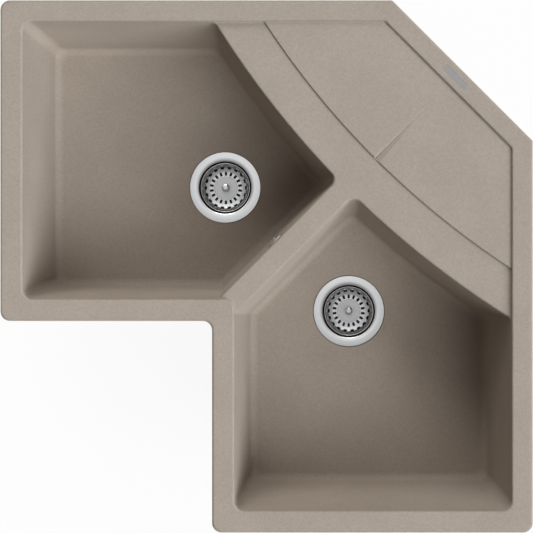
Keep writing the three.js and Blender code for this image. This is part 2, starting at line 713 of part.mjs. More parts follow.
// The pressed dish: flat flange, rolled lip, straight wall, sloping seat and slotted floor.
function dish() {
  const inner = DISH_RADIUS - SHEET;
  const hub = CLAMP_SCREW_RADIUS + BORE_CLEARANCE;
  const lip = (radius) =>
    steps(2, 0, Math.PI / 2).map((angle) => [
      inner + DISH_LIP - radius * Math.cos(angle),
      FLANGE_CROWN - DISH_LIP + radius * Math.sin(angle),
    ]);
  const body = revolved(
    [
      [hub, dishFloor - SHEET],
      [DISH_SEAT_RADIUS, dishFloor - SHEET],
      [DISH_RADIUS, -DISH_WALL_DEPTH - SHEET],
      ...lip(DISH_LIP - SHEET),
      [FLANGE_RADIUS - SHEET, flangeUnder],
      [FLANGE_RADIUS, flangeUnder + SHEET / 2],
      [FLANGE_RADIUS - SHEET, FLANGE_CROWN],
      ...lip(DISH_LIP).reverse(),
      [inner, -DISH_WALL_DEPTH],
      [DISH_SEAT_RADIUS - SHEET / 2, dishFloor],
      [hub, dishFloor],
      [hub, dishFloor - SHEET],
    ],
    24,
  );
  const slotInner = CLAMP_SCREW_HEAD_RADIUS + DISH_SLOT_BORDER;
  const slotOuter = DISH_SEAT_RADIUS - DISH_SLOT_BORDER;
  const [low, high] = [dishFloor - 2 * SHEET, dishFloor + SHEET];
  const slot = revolved(tubeProfile(slotOuter, slotInner, low, high), 12);
  const half = DISH_SPOKE_WIDTH / 2;
  const spoke = block(-DISH_SEAT_RADIUS, DISH_SEAT_RADIUS, -half, half, low - PAST, high + PAST);
  const spokes = Array.from({ length: DISH_SLOTS / 2 }, (_, k) =>
    turned(spoke, (k * 360) / DISH_SLOTS),
  );
  return cut(body, cut(slot, ...spokes));
}

// The lift-out basket: rolled rim, sloping perforated side, slotted floor with a raised middle.
function basket() {
  const slope = (BASKET_RADIUS - SHEET - BASKET_FLOOR_RADIUS) / BASKET_DEPTH;
  const body = revolved(
    [
      [STEM_RADIUS + BORE_CLEARANCE, basketFloor - SHEET],
      [BASKET_FLOOR_RADIUS, basketFloor - SHEET],
      [BASKET_FLOOR_RADIUS + BASKET_HEEL, basketFloor],
      [BASKET_RADIUS - SHEET, basketRim - SHEET],
      [BASKET_RADIUS, basketRim - SHEET],
      [BASKET_RADIUS, basketRim],
      [BASKET_RADIUS - 2 * SHEET, basketRim],
      [BASKET_FLOOR_RADIUS, basketFloor + SHEET],
      [BASKET_FLOOR_RADIUS - SHEET, basketFloor],
      [STEM_RADIUS + BORE_CLEARANCE, basketFloor],
      [STEM_RADIUS + BORE_CLEARANCE, basketFloor - SHEET],
    ],
    27,
  );
  const side = BASKET_FLOOR_RADIUS + slope * BASKET_HOLE_RISE;
  const slot = block(
    BASKET_SLOT_RADIUS - BASKET_SLOT_LENGTH / 2,
    BASKET_SLOT_RADIUS + BASKET_SLOT_LENGTH / 2,
    -BASKET_SLOT_WIDTH / 2,
    BASKET_SLOT_WIDTH / 2,
    basketFloor - 2 * SHEET,
    basketFloor + SHEET,
  );
  const hole = block(
    side - 3 * SHEET,
    side + 3 * SHEET,
    -BASKET_HOLE_WIDTH / 2,
    BASKET_HOLE_WIDTH / 2,
    basketFloor + BASKET_HOLE_RISE - BASKET_HOLE_HEIGHT / 2,
    basketFloor + BASKET_HOLE_RISE + BASKET_HOLE_HEIGHT / 2,
  );
  const cutters = [];
  for (let k = 0; k < BASKET_SLOTS; k++) {
    cutters.push(turned(slot, BASKET_FIRST_SLOT + (k * 360) / BASKET_SLOTS));
    cutters.push(turned(hole, BASKET_FIRST_SLOT + ((k + 0.5) * 360) / BASKET_SLOTS));
  }
  return cut(body, union(...cutters));
}

function knob() {
  const base = basketFloor + GAP;
  const top = base + KNOB_NECK_HEIGHT + KNOB_HEIGHT;
  const dome = steps(3, 0, Math.PI / 2).map((angle) => [
    KNOB_RADIUS * Math.cos(angle),
    top - KNOB_DOME * (1 - Math.sin(angle)),
  ]);
  dome[dome.length - 1][0] = 0;
  const socket = STEM_RADIUS + GAP;
  const socketTop = base + KNOB_NECK_HEIGHT;
  return revolved(
    [
      [0, socketTop],
      [socket, socketTop],
      [socket, base],
      [KNOB_NECK_RADIUS + KNOB_FOOT, base],
      [KNOB_NECK_RADIUS + KNOB_FOOT, base + KNOB_FOOT_THICKNESS],
      [KNOB_NECK_RADIUS, base + 2 * KNOB_FOOT_THICKNESS],
      [KNOB_NECK_RADIUS, socketTop],
      [KNOB_RADIUS, (socketTop + top - KNOB_DOME) / 2],
      ...dome,
    ],
    12,
  );
}

// The height at which the dish's sloping seat has a given radius.
const seatHeight = (radius) => {
  const inner = DISH_RADIUS - SHEET;
  const run = inner - (DISH_SEAT_RADIUS - SHEET / 2);
  return -DISH_WALL_DEPTH - ((inner - radius) / run) * (DISH_DEPTH - DISH_WALL_DEPTH);
};

const plugRadius = (DISH_RADIUS + DISH_SEAT_RADIUS) / 2; // halfway up the sloping seat
const plugBottom = seatHeight(plugRadius) + 2 * GAP;
const plugTop = plugBottom + PLUG_THICKNESS;
const collarUnder = plugBottom - STEM_COLLAR_THICKNESS;
const stemTip = collarUnder - STEM_TIP_LENGTH;

function plugSeal() {
  const hole = STEM_RADIUS + GAP;
  return revolved(
    [
      [hole, plugBottom],
      [DISH_SEAT_RADIUS - PLUG_LIP, plugBottom],
      [plugRadius - PLUG_LIP / 3, plugBottom + 0.15 * PLUG_THICKNESS],
      [plugRadius, plugBottom + 0.35 * PLUG_THICKNESS],
      [plugRadius - PLUG_LIP, plugBottom + 0.65 * PLUG_THICKNESS],
      [plugRadius - 2 * PLUG_LIP, plugTop],
      [hole, plugTop],
      [hole, plugBottom],
    ],
    20,
  );
}

// The stem carries knob, basket and plug, and its tip stands in the clamp screw's socket.
function stem() {
  const spacer = basketFloor - SHEET - GAP;
  const collar = STEM_RADIUS + STEM_COLLAR;
  const waist = STEM_TIP_RADIUS - STEM_WAIST;
  return revolved(
    [
      [0, stemTip],
      [waist, stemTip],
      [STEM_TIP_RADIUS, stemTip + STEM_TIP_RADIUS / 2],
      [waist, stemTip + STEM_TIP_RADIUS],
      [waist, collarUnder],
      [collar, collarUnder],
      [collar, plugBottom - GAP],
      [STEM_RADIUS, plugBottom - GAP],
      [STEM_RADIUS, plugTop + GAP],
      [collar, plugTop + GAP],
      [collar, spacer],
      [STEM_RADIUS, spacer],
      [STEM_RADIUS, basketFloor + KNOB_NECK_HEIGHT],
      [0, basketFloor + KNOB_NECK_HEIGHT],
    ],
    10,
  );
}

const spiderTop = dishFloor - SHEET - GAP;

// The screw that clamps dish to housing, its head bored for the stem's tip.
function clampScrew() {
  const headUnder = dishFloor + GAP;
  const headTop = headUnder + CLAMP_SCREW_HEAD_HEIGHT;
  const socket = STEM_TIP_RADIUS + GAP;
  return revolved(
    [
      [0, spiderTop - CLAMP_SCREW_LENGTH],
      [CLAMP_SCREW_RADIUS, spiderTop - CLAMP_SCREW_LENGTH],
      [CLAMP_SCREW_RADIUS, headUnder],
      [CLAMP_SCREW_HEAD_RADIUS, headUnder],
      [CLAMP_SCREW_HEAD_RADIUS, headUnder + CLAMP_SCREW_HEAD_EDGE],
      [socket + CLAMP_SCREW_SOCKET_WALL, headTop],
      [socket, headTop],
      [socket, stemTip - 2 * GAP],
      [0, stemTip - 2 * GAP],
    ],
    12,
  );
}

const housingTop = -FLOOR - GAP - GASKET_THICKNESS - GAP;
const housingInner = DISH_RADIUS + HOUSING_ROOM;
const housingOuter = housingInner + HOUSING_WALL;
const coneTop = housingTop - HOUSING_DEPTH;
const coneBottom = coneTop - HOUSING_CONE;
const outletEnd = coneBottom - OUTLET_LENGTH;

function lowerGasket() {
  const outer = housingOuter + GASKET_WIDTH;
  return revolved(tubeProfile(outer, housingInner, housingTop + GAP, -FLOOR - GAP), 24);
}

// The moulded body under the floor: flange, cup, spider with the screw's hub, cone and outlet.
function housing(withPort) {
  const shell = revolved(
    [
      [OUTLET_BORE_RADIUS, outletEnd],
      [OUTLET_RADIUS, outletEnd],
      [OUTLET_RADIUS, coneBottom],
      [housingOuter, coneTop],
      [housingOuter, housingTop - HOUSING_FLANGE],
      [housingOuter + GASKET_WIDTH, housingTop - HOUSING_FLANGE],
      [housingOuter + GASKET_WIDTH, housingTop],
      [housingInner, housingTop],
      [housingInner, coneTop],
      [OUTLET_BORE_RADIUS, coneBottom],
      [OUTLET_BORE_RADIUS, outletEnd],
    ],
    24,
  );
  const hub = rod(SPIDER_HUB_RADIUS, spiderTop - SPIDER_HEIGHT, spiderTop, 12);
  const arms = Array.from({ length: SPIDER_ARMS }, (_, k) =>
    turned(
      block(
        0,
        housingInner + PAST,
        -SPIDER_ARM_WIDTH / 2,
        SPIDER_ARM_WIDTH / 2,
        spiderTop - SPIDER_HEIGHT,
        spiderTop,
      ),
      15 + (k * 360) / SPIDER_ARMS,
    ),
  );
  const bore = rod(CLAMP_SCREW_RADIUS + GAP, spiderTop - SPIDER_HEIGHT - PAST, spiderTop + PAST, 16);
  if (!withPort) return cut(union(shell, hub, ...arms), bore);
  const reach = housingOuter + PORT_LENGTH;
  const port = alongPort(rod(SPIGOT_RADIUS, housingInner - HOUSING_WALL, reach, 14));
  const collarEnd = housingOuter + PORT_COLLAR;
  const collar = alongPort(rod(HOSE_RADIUS, housingInner + PAST, collarEnd, 14));
  const waterway = alongPort(rod(SPIGOT_BORE_RADIUS, housingInner / 2, reach + PAST, 14));
  const clear = revolved(
    [[0, coneTop], [housingInner, coneTop], [housingInner, housingTop], [0, housingTop]],
    24,
  );
  const sideArm = cut(union(port, collar), clear);
  return cut(union(shell, hub, ...arms, sideArm), bore, waterway);
}

// The hose port points across the mirror plane, at the hose's height.
const portZ = FLOOR_UNDER_Z - HOSE_DROP - FLOOR_Z;
const alongPort = (geometry) =>
  geometry.clone().rotateY(Math.PI / 2).rotateZ(-Math.PI / 4).translate(0, 0, portZ);

// ============================================================ overflow
// Cover, gasket and elbow are modelled about Z with Z = 0 on the wall's face, +Z into the bowl.

function overflowCover() {
  const edge = OVERFLOW_COVER_RADIUS;
  const body = revolved(
    [
      [OVERFLOW_SCREW_RADIUS + GAP, GAP],
      [edge, GAP],
      [edge, GAP + OVERFLOW_COVER_EDGE],
      [edge - OVERFLOW_COVER_SLOPE, OVERFLOW_COVER_HEIGHT],
      [OVERFLOW_SCREW_RADIUS + GAP, OVERFLOW_COVER_HEIGHT],
      [OVERFLOW_SCREW_RADIUS + GAP, GAP],
    ],
    24,
  );
  const slot = block(
    OVERFLOW_SLOT_INNER,
    OVERFLOW_SLOT_OUTER,
    -OVERFLOW_SLOT_WIDTH / 2,
    OVERFLOW_SLOT_WIDTH / 2,
    -PAST,
    OVERFLOW_COVER_HEIGHT + PAST,
  );
  const slots = Array.from({ length: OVERFLOW_SLOTS }, (_, k) =>
    turned(slot, (k * 360) / OVERFLOW_SLOTS),
  );
  return cut(body, union(...slots));
}

const overflowBack = -WALL - GAP;

function overflowGasket() {
  const back = overflowBack - OVERFLOW_GASKET;
  return revolved(tubeProfile(OVERFLOW_BODY_RADIUS, OVERFLOW_HOLE_RADIUS, back, overflowBack), 24);
}

// The chamber behind the wall, with its screw post and the spigot that takes the hose.
const chamberFront = overflowBack - OVERFLOW_GASKET - GAP;
const chamberBack = chamberFront - OVERFLOW_BODY_DEPTH;

function overflowElbow() {
  const chamber = rod(OVERFLOW_BODY_RADIUS, chamberBack, chamberFront, 20);
  const inner = OVERFLOW_BODY_RADIUS - OVERFLOW_BODY_WALL;
  const hollow = rod(inner, chamberBack + OVERFLOW_BODY_WALL, chamberFront + PAST, 20);
  const post = rod(OVERFLOW_POST_RADIUS, chamberBack + PAST, chamberFront, 10);
  const pilotEnd = chamberBack + OVERFLOW_PILOT_FLOOR;
  const pilot = rod(OVERFLOW_SCREW_RADIUS + GAP, pilotEnd, chamberFront + PAST, 10);
  return inOverflow(cut(union(cut(chamber, hollow), post), pilot));
}

function overflowScrew() {
  const under = OVERFLOW_COVER_HEIGHT + GAP;
  const top = under + OVERFLOW_SCREW_HEAD_HEIGHT;
  const depth = chamberBack + OVERFLOW_PILOT_FLOOR + GAP;
  return revolved(
    [
      [0, depth],
      [OVERFLOW_SCREW_RADIUS, depth],
      [OVERFLOW_SCREW_RADIUS, under],
      [OVERFLOW_SCREW_HEAD_RADIUS, under],
      [0.85 * OVERFLOW_SCREW_HEAD_RADIUS, top - OVERFLOW_SCREW_HEAD_HEIGHT / 3],
      [0, top],
    ],
    14,
  );
}

// ============================================================ overflow hose
// The hose hangs in the mirror plane's gap between the bowls, turns under the left bowl and
// runs to the port. Points are [distance from the mirror plane towards the drain, height].

const spigotDepth = OVERFLOW_BODY_DEPTH / 2 - chamberFront;
const spigotAcross = overflowWall - spigotDepth * Math.cos(DRAFT);
const spigotTop = overflowZ - OVERFLOW_BODY_RADIUS;
const hoseTop = spigotTop - SPIGOT_BARE;
const hoseLevel = FLOOR_Z + portZ;
const hoseEnd = DRAIN_OFFSET - housingOuter - PORT_COLLAR - GAP;

const hosePoint = (across, z) => new THREE.Vector3(...mirrorPlace(across, z));

function hosePath() {
  const path = new THREE.CurvePath();
  const bendTop = hoseLevel + HOSE_BEND_RADIUS;
  const bendEnd = spigotAcross + HOSE_BEND_RADIUS;
  const k = HOSE_BEND_RADIUS * (4 / 3) * Math.tan(Math.PI / 8);
  path.add(new THREE.LineCurve3(hosePoint(spigotAcross, hoseTop), hosePoint(spigotAcross, bendTop)));
  path.add(
    new THREE.CubicBezierCurve3(
      hosePoint(spigotAcross, bendTop),
      hosePoint(spigotAcross, bendTop - k),
      hosePoint(bendEnd - k, hoseLevel),
      hosePoint(bendEnd, hoseLevel),
    ),
  );
  path.add(new THREE.LineCurve3(hosePoint(bendEnd, hoseLevel), hosePoint(hoseEnd, hoseLevel)));
  return path;
}

// A ribbed tube with a plain straight length of one diameter at each end, and its bore.
function hose() {
  const path = hosePath();
  const length = path.getLength();
  const plain = 2 * HOSE_RADIUS;
  const sides = HOSE_SIDES;
  const pitch = (length - 2 * plain) / HOSE_RIBS;
  const stations = [0, plain].map((at) => [at, HOSE_ROOT_RADIUS]);
  for (let rib = 0; rib < HOSE_RIBS; rib++) {
    stations.push([plain + pitch * (rib + 0.25), HOSE_RADIUS]);
    stations.push([plain + pitch * (rib + 0.75), HOSE_ROOT_RADIUS]);
  }
  stations.push([length, HOSE_ROOT_RADIUS]);
  const boreStations = stations.filter(
    (_, i) => i % (2 * RIBS_PER_BORE_RING) === 0 || i >= stations.length - 2,
  );
  const sideways = new THREE.Vector3(DIAGONAL, DIAGONAL, 0);
  const circle = ([at, radius]) => {
    const centre = path.getPointAt(at / length);
    const forward = path.getTangentAt(at / length);
    const normal = new THREE.Vector3().crossVectors(forward, sideways);
    return Array.from({ length: sides }, (_, k) => {
      const angle = (k * 2 * Math.PI) / sides;
      const point = centre
        .clone()
        .addScaledVector(sideways, radius * Math.cos(angle))
        .addScaledVector(normal, radius * Math.sin(angle));
      return point.toArray();
    });
  };
  const outside = stations.map(circle);
  const inside = boreStations.map(([at]) => circle([at, HOSE_BORE_RADIUS])).reverse();
  const rings = [...outside, ...inside];
  const index = [];
  rings.forEach((_, level) => {
    const next = (level + 1) % rings.length;
    for (let i = 0; i < sides; i++) {
      const j = (i + 1) % sides;
      const [a, b, c, d] = [
        level * sides + i,
        level * sides + j,
        next * sides + j,
        next * sides + i,
      ];
      index.push(a, b, c, a, c, d);
    }
  });
  const geometry = new THREE.BufferGeometry();
  geometry.setAttribute("position", new THREE.Float32BufferAttribute(rings.flat(2), 3));
  geometry.setIndex(index);
  return geometry;
}

function spigot() {
  const root = spigotTop + 2 * OVERFLOW_BODY_WALL; // inside the chamber's round wall
  return cut(
    rod(SPIGOT_RADIUS, spigotTop - SPIGOT_LENGTH, root, 14),
    rod(SPIGOT_BORE_RADIUS, spigotTop - SPIGOT_LENGTH - PAST, root + PAST, 14),
  );
}

// A ring nut round each end of the hose, with eight grip flats.
const hoseNut = () =>
  cut(
    rod(HOSE_NUT_RADIUS, 0, HOSE_NUT_LENGTH, 8),
    rod(HOSE_ROOT_RADIUS + BORE_CLEARANCE, -PAST, HOSE_NUT_LENGTH + PAST, 16),
  );

// ============================================================ fixing clamps

const insert = () =>
  revolved(
    tubeProfile(INSERT_RADIUS, CLAMP_SCREW_SIZE / 2 + GAP, bossBottom, insertTop - GAP),
    8,
  );

const clampUnder = bossBottom - CLAMP_TRAVEL - CLAMP_RISE - CLAMP_SHEET;
const clampTop = clampUnder + CLAMP_SHEET;

function fixingScrew() {
  const head = clampUnder - GAP;
  const radius = CLAMP_SCREW_SIZE / 2;
  return union(
    rod(radius, head - PAST, head + FIXING_SCREW_LENGTH, 8),
    hexagon(FIXING_HEAD_RADIUS, head - FIXING_HEAD_HEIGHT, head),
  );
}

// The bent steel arm: flat with a round end about the screw, turned up at its tip to press on
// the worktop.
function clampArm() {
  const half = CLAMP_WIDTH / 2;
  const plan = new THREE.Shape();
  plan.moveTo(0, -half).lineTo(CLAMP_LENGTH, -half).lineTo(CLAMP_LENGTH, half).lineTo(0, half);
  plan.absarc(0, 0, half, Math.PI / 2, (3 * Math.PI) / 2, false);
  const flat = new THREE.ExtrudeGeometry(plan, {
    depth: CLAMP_SHEET,
    bevelEnabled: false,
    curveSegments: 8,
  }).translate(0, 0, clampUnder);
  const inner = CLAMP_LENGTH - CLAMP_SHEET;
  const top = clampUnder + CLAMP_RISE;
  return cut(
    union(
      flat,
      block(inner, CLAMP_LENGTH, -half, half, clampUnder + CLAMP_SHEET / 2, top),
      block(CLAMP_LENGTH - CLAMP_FOOT, CLAMP_LENGTH, -half, half, top - CLAMP_SHEET, top),
    ),
    rod(CLAMP_SCREW_SIZE / 2 + BORE_CLEARANCE, clampUnder - PAST, clampTop + PAST, 12),
  );
}

// ============================================================ assembly

const material = (color, roughness, metalness) =>
  new THREE.MeshStandardMaterial({ color, roughness, metalness });

const composite = material(0x9c9186, 0.75, 0);
const steel = material(0xc9cacc, 0.28, 1);
const rubber = material(0x1d1d1e, 0.85, 0);
const plastic = material(0xe6e6e3, 0.55, 0);
const hosePlastic = material(0xb9babc, 0.6, 0);
const foam = material(0x3a3a3b, 0.95, 0);
const brass = material(0xb08d4a, 0.4, 1);
const zinc = material(0xa9adb0, 0.45, 1);

const sink = new THREE.Group();

function add(parent, name, geometry, look) {
  const mesh = new THREE.Mesh(geometry, look);
  mesh.name = name;
  parent.add(mesh);
  return mesh;
}

add(sink, "sink_body", sinkBody(), composite);
add(sink, "rim_seal", sealGroove(0, SEAL_DEPTH - GAP, 0), foam);

for (const side of ["left", "right"]) {
  const left = side === "left";
  const waste = new THREE.Group();
  waste.position.set(left ? drainX : drainY, left ? drainY : drainX, FLOOR_Z);
  add(waste, side + "_strainer_dish", dish(), steel);
  add(waste, side + "_flange_seal", flangeSeal(), rubber);
  add(waste, side + "_clamp_screw", clampScrew(), steel);
  add(waste, side + "_lower_gasket", lowerGasket(), rubber);
  add(waste, side + "_waste_housing", housing(left), plastic);
  add(waste, side + "_basket", basket(), steel);
  add(waste, side + "_basket_knob", knob(), steel);
  add(waste, side + "_plug_seal", plugSeal(), rubber);
  add(waste, side + "_basket_stem", stem(), steel);
  sink.add(waste);
}

add(sink, "overflow_cover", inOverflow(overflowCover()), steel);
add(sink, "overflow_screw", inOverflow(overflowScrew()), steel);
add(sink, "overflow_gasket", inOverflow(overflowGasket()), rubber);
const spigotAt = hosePoint(spigotAcross, 0);
add(
  sink,
  "overflow_elbow",
  union(overflowElbow(), spigot().translate(spigotAt.x, spigotAt.y, 0)),
  plastic,
);
add(sink, "overflow_hose", hose(), hosePlastic);
const upperNut = hoseNut().translate(spigotAt.x, spigotAt.y, hoseTop - HOSE_NUT_LENGTH + NUT_LIP);
add(sink, "hose_upper_nut", upperNut, plastic);
const lowerNutAt = hosePoint(hoseEnd - HOSE_NUT_LENGTH, hoseLevel);
const lowerNut = hoseNut().rotateY(Math.PI / 2).rotateZ((3 * Math.PI) / 4);
add(sink, "hose_lower_nut", lowerNut.translate(...lowerNutAt.toArray()), plastic);

clampPlaces.forEach(({ x, y, facing }, i) => {
  for (const side of ["left", "right"]) {
    const left = side === "left";
    const name = side + "_" + (i + 1);
    const group = new THREE.Group();
    group.position.set(left ? x : y, left ? y : x, 0);
    // Put away, the arm lies along the rim; it swings out under the worktop by 90 degrees.
    const out = left ? facing : 90 - facing;
    const away = left ? out - 90 : out + 90;
    add(group, "clamp_insert_" + name, insert(), brass);
    add(group, "clamp_bolt_" + name, fixingScrew(), zinc);
    add(group, "clamp_" + name, turned(clampArm(), away), zinc);
    sink.add(group);
  }
});

export default sink;
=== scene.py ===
# Corner kitchen sink: the looks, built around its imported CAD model. Metres, +Z up, worktop at Z = 0.
from dataclasses import dataclass, replace
from math import asin, atan2, cos, dist, hypot, pi, radians, sin, sqrt, tan

import bmesh
import bpy
from mathutils import Matrix, Vector


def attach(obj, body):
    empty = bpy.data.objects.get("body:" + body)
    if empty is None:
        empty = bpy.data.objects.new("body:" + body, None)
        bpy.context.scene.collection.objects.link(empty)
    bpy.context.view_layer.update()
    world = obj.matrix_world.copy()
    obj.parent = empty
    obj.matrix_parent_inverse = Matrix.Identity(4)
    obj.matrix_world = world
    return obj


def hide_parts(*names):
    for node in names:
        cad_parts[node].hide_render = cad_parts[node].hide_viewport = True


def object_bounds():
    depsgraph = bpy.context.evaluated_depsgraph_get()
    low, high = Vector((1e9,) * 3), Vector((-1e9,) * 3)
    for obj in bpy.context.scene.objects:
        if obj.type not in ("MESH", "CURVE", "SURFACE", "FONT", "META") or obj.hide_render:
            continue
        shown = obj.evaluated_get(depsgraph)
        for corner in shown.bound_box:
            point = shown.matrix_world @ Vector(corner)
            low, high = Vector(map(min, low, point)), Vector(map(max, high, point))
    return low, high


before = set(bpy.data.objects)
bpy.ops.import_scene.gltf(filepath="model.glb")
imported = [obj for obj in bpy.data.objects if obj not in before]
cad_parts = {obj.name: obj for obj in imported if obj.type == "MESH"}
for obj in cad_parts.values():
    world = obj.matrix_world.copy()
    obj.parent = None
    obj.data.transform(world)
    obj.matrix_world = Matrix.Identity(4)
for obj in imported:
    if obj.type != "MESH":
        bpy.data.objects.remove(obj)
cad_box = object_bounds()
scene = bpy.context.scene
scene.view_settings.view_transform = "Standard"

# ================ camera
# The photograph looks straight down from a little over two metres, with its lens shifted
# sideways so that the sink fills the square picture from edge to edge.
PICTURE_WIDTH = 0.830
PICTURE_X, PICTURE_Y = 0.079, 0.079
CAMERA_X, CAMERA_Y = 0.1654, 0.1016
CAMERA_RISE = 2.2
RIM_LEVEL = 0.009
SENSOR = 36

camera = bpy.data.objects.new("camera", bpy.data.cameras.new("camera"))
scene.collection.objects.link(camera)
camera.location = (CAMERA_X, CAMERA_Y, RIM_LEVEL + CAMERA_RISE)
camera.data.sensor_width = SENSOR
camera.data.lens = SENSOR * CAMERA_RISE / PICTURE_WIDTH
camera.data.shift_x = (PICTURE_X - CAMERA_X) / PICTURE_WIDTH
camera.data.shift_y = (PICTURE_Y - CAMERA_Y) / PICTURE_WIDTH
scene.camera = camera


# ================ studio
# A pale floor under the sink's lowest point, far soft lamps round it that light the resin, and a
# plain room that only the metal mirrors.
class Wire:
    """An output of the material that is being made. Arithmetic on it adds Math nodes."""

    tree = None

    def __init__(self, socket):
        self.socket = socket

    @classmethod
    def node(cls, kind, values=None, out=0, **settings):
        made = cls.tree.nodes.new("ShaderNode" + kind)
        for name, value in settings.items():
            setattr(made, name, value)
        for name, value in (values or {}).items():
            if isinstance(value, Wire):
                cls.tree.links.new(value.socket, made.inputs[name])
            else:
                made.inputs[name].default_value = value
        return cls(made.outputs[out]) if made.outputs else None

    def other(self, name):
        return Wire(self.socket.node.outputs[name])

    def math(self, operation, *values):
        return Wire.node("Math", dict(enumerate((self, *values))), operation=operation)

    def __add__(self, other):
        return self.math("ADD", other)

    def __mul__(self, other):
        return self.math("MULTIPLY", other)

    def __sub__(self, other):
        return self.math("SUBTRACT", other)

    def __rsub__(self, other):
        return Wire.node("Math", {0: other, 1: self}, operation="SUBTRACT")

    __radd__, __rmul__ = __add__, __mul__

    def between(self, low, high):
        """0 below low, 1 above high, smooth between them."""
        values = {"Value": self, "From Min": low, "From Max": high}
        return Wire.node("MapRange", values, interpolation_type="SMOOTHSTEP")


def tint(red, green, blue):
    """A colour as it looks on screen, 0 to 255, for a shader."""
    shares = (value / 255 for value in (red, green, blue))
    return (*(s / 12.92 if s <= 0.04045 else ((s + 0.055) / 1.055) ** 2.4 for s in shares), 1)


def blend(factor, a, b):
    """Colour a where factor is 0 and b where it is 1. Each is a Wire or a colour on screen."""
    a, b = (colour if isinstance(colour, Wire) else tint(*colour) for colour in (a, b))
    return Wire.node("Mix", {0: factor, 6: a, 7: b}, out=2, data_type="RGBA")


def new_finish(name):
    """Starts a material. The nodes made next go into it."""
    material = bpy.data.materials.new(name)
    material.use_nodes = True
    material.node_tree.nodes.clear()
    Wire.tree = material.node_tree
    return material


def surface(colour, roughness, normal, metallic=0.0, specular=0.5):
    """Ends a material with its surface."""
    values = {"Base Color": colour, "Metallic": metallic, "Roughness": roughness, "Normal": normal}
    shader = Wire.node("BsdfPrincipled", {**values, "Specular IOR Level": specular})
    Wire.node("OutputMaterial", {"Surface": shader})


def bump(height, depth, strength=1.0):
    return Wire.node("Bump", {"Strength": strength, "Distance": depth, "Height": height})


def place(scale=1.0):
    """Where a point lies on its piece, in units of 1/scale metres."""
    here = Wire.node("TexCoord", out="Object")
    return Wire.node("VectorMath", {0: here, "Scale": scale}, operation="SCALE")


def noise(at, scale, detail=2.0, roughness=0.5):
    values = {"Vector": at, "Scale": scale, "Detail": detail, "Roughness": roughness}
    return Wire.node("TexNoise", values)


FLOOR_Z = cad_box[0].z
FLOOR_HALF = 6.0
FLOOR_WHITE = 0.93  # share of the floor that shows white, whatever shade falls on it

mesh = bpy.data.meshes.new("studio_floor")
corners = [(-1, -1), (1, -1), (1, 1), (-1, 1)]
mesh.from_pydata([(x * FLOOR_HALF, y * FLOOR_HALF, FLOOR_Z) for x, y in corners], [], [(0, 1, 2, 3)])
floor = bpy.data.objects.new("studio_floor", mesh)
scene.collection.objects.link(floor)

paper = new_finish("pale_paper")
path = Wire.node("LightPath", out="Is Camera Ray")
seen = path.math("MAXIMUM", path.other("Is Glossy Ray")).math("MAXIMUM", path.other("Is Transmission Ray"))
paper_grain = noise(place(), 90.0, 3.0)
pale = blend(paper_grain, (232, 231, 229), (238, 237, 236))
matt = Wire.node("BsdfDiffuse", {"Color": pale})
white = Wire.node("Emission", {"Strength": 1.0})
mixed = Wire.node("MixShader", {0: seen * FLOOR_WHITE, 1: matt, 2: white})
Wire.node("OutputMaterial", {"Surface": mixed})
mesh.materials.append(paper)


def aim(azimuth, elevation):
    """The way to something that stands far off round the sink."""
    turn, rise = radians(azimuth), radians(elevation)
    return Vector((cos(turn) * cos(rise), sin(turn) * cos(rise), sin(rise)))


SKY_LIGHT = 0.02
# What metal mirrors of the room: a glow overhead that leans to the back and fades over an angle,
# a white wall low at the back, and a dim room all round.
GLOW_MIDDLE, GLOW_REACH, WALL_BRIGHT, ROOM_DIM = aim(105, 79), radians(62), 1.15, 0.25
WALL_EDGE = (0.28, 0.46)  # between these its brightness comes up
sky = bpy.data.worlds.new("studio_sky")
scene.world = sky
sky.use_nodes = True
sky.node_tree.nodes.clear()
Wire.tree = sky.node_tree
path = Wire.node("LightPath", out="Is Camera Ray")
seen = path.math("MAXIMUM", path.other("Is Transmission Ray"))
way = Wire.node("TexCoord", out="Generated")
towards = Wire.node("VectorMath", {0: way, 1: GLOW_MIDDLE}, out="Value", operation="DOT_PRODUCT")
overhead = 1 - towards.math("ARCCOSINE") * (1 / GLOW_REACH)
behind = Wire.node("SeparateXYZ", {0: way}, out="Y").between(*WALL_EDGE) * WALL_BRIGHT
mirrored = overhead.math("MAXIMUM", behind).math("MAXIMUM", ROOM_DIM)
level = SKY_LIGHT + seen * (1 - SKY_LIGHT) + path.other("Is Glossy Ray") * (mirrored - SKY_LIGHT)
glow = Wire.node("Background", {"Color": (1, 1, 1, 1), "Strength": level})
Wire.node("OutputWorld", {"Surface": glow})


def lamp(name, azimuth, elevation, strength, colour, mirrored=False):
    """A far lamp: where it stands, its light, and whether metal mirrors it."""
    light = bpy.data.lights.new(name, "SUN")
    light.energy = strength
    light.color = colour
    light.angle = radians(LAMP_SOFTNESS)
    stand = bpy.data.objects.new(name, light)
    stand.rotation_euler = aim(azimuth, elevation).to_track_quat("Z", "Y").to_euler()
    stand.visible_glossy = mirrored
    scene.collection.objects.link(stand)


LAMP_SOFTNESS = 40  # how wide a lamp looks from the sink, in degrees
DAYLIGHT, WARM = (0.95, 1, 1.06), (1, 0.98, 0.95)
lamp("right_lamp", 330, 30, 2.16, DAYLIGHT)
lamp("high_right_lamp", 315, 55, 0.97, WARM)
lamp("front_lamp", 300, 30, 0.41, WARM)
lamp("back_lamp", 90, 30, 1.48, WARM, mirrored=True)
lamp("back_left_lamp", 120, 30, 0.32, WARM)

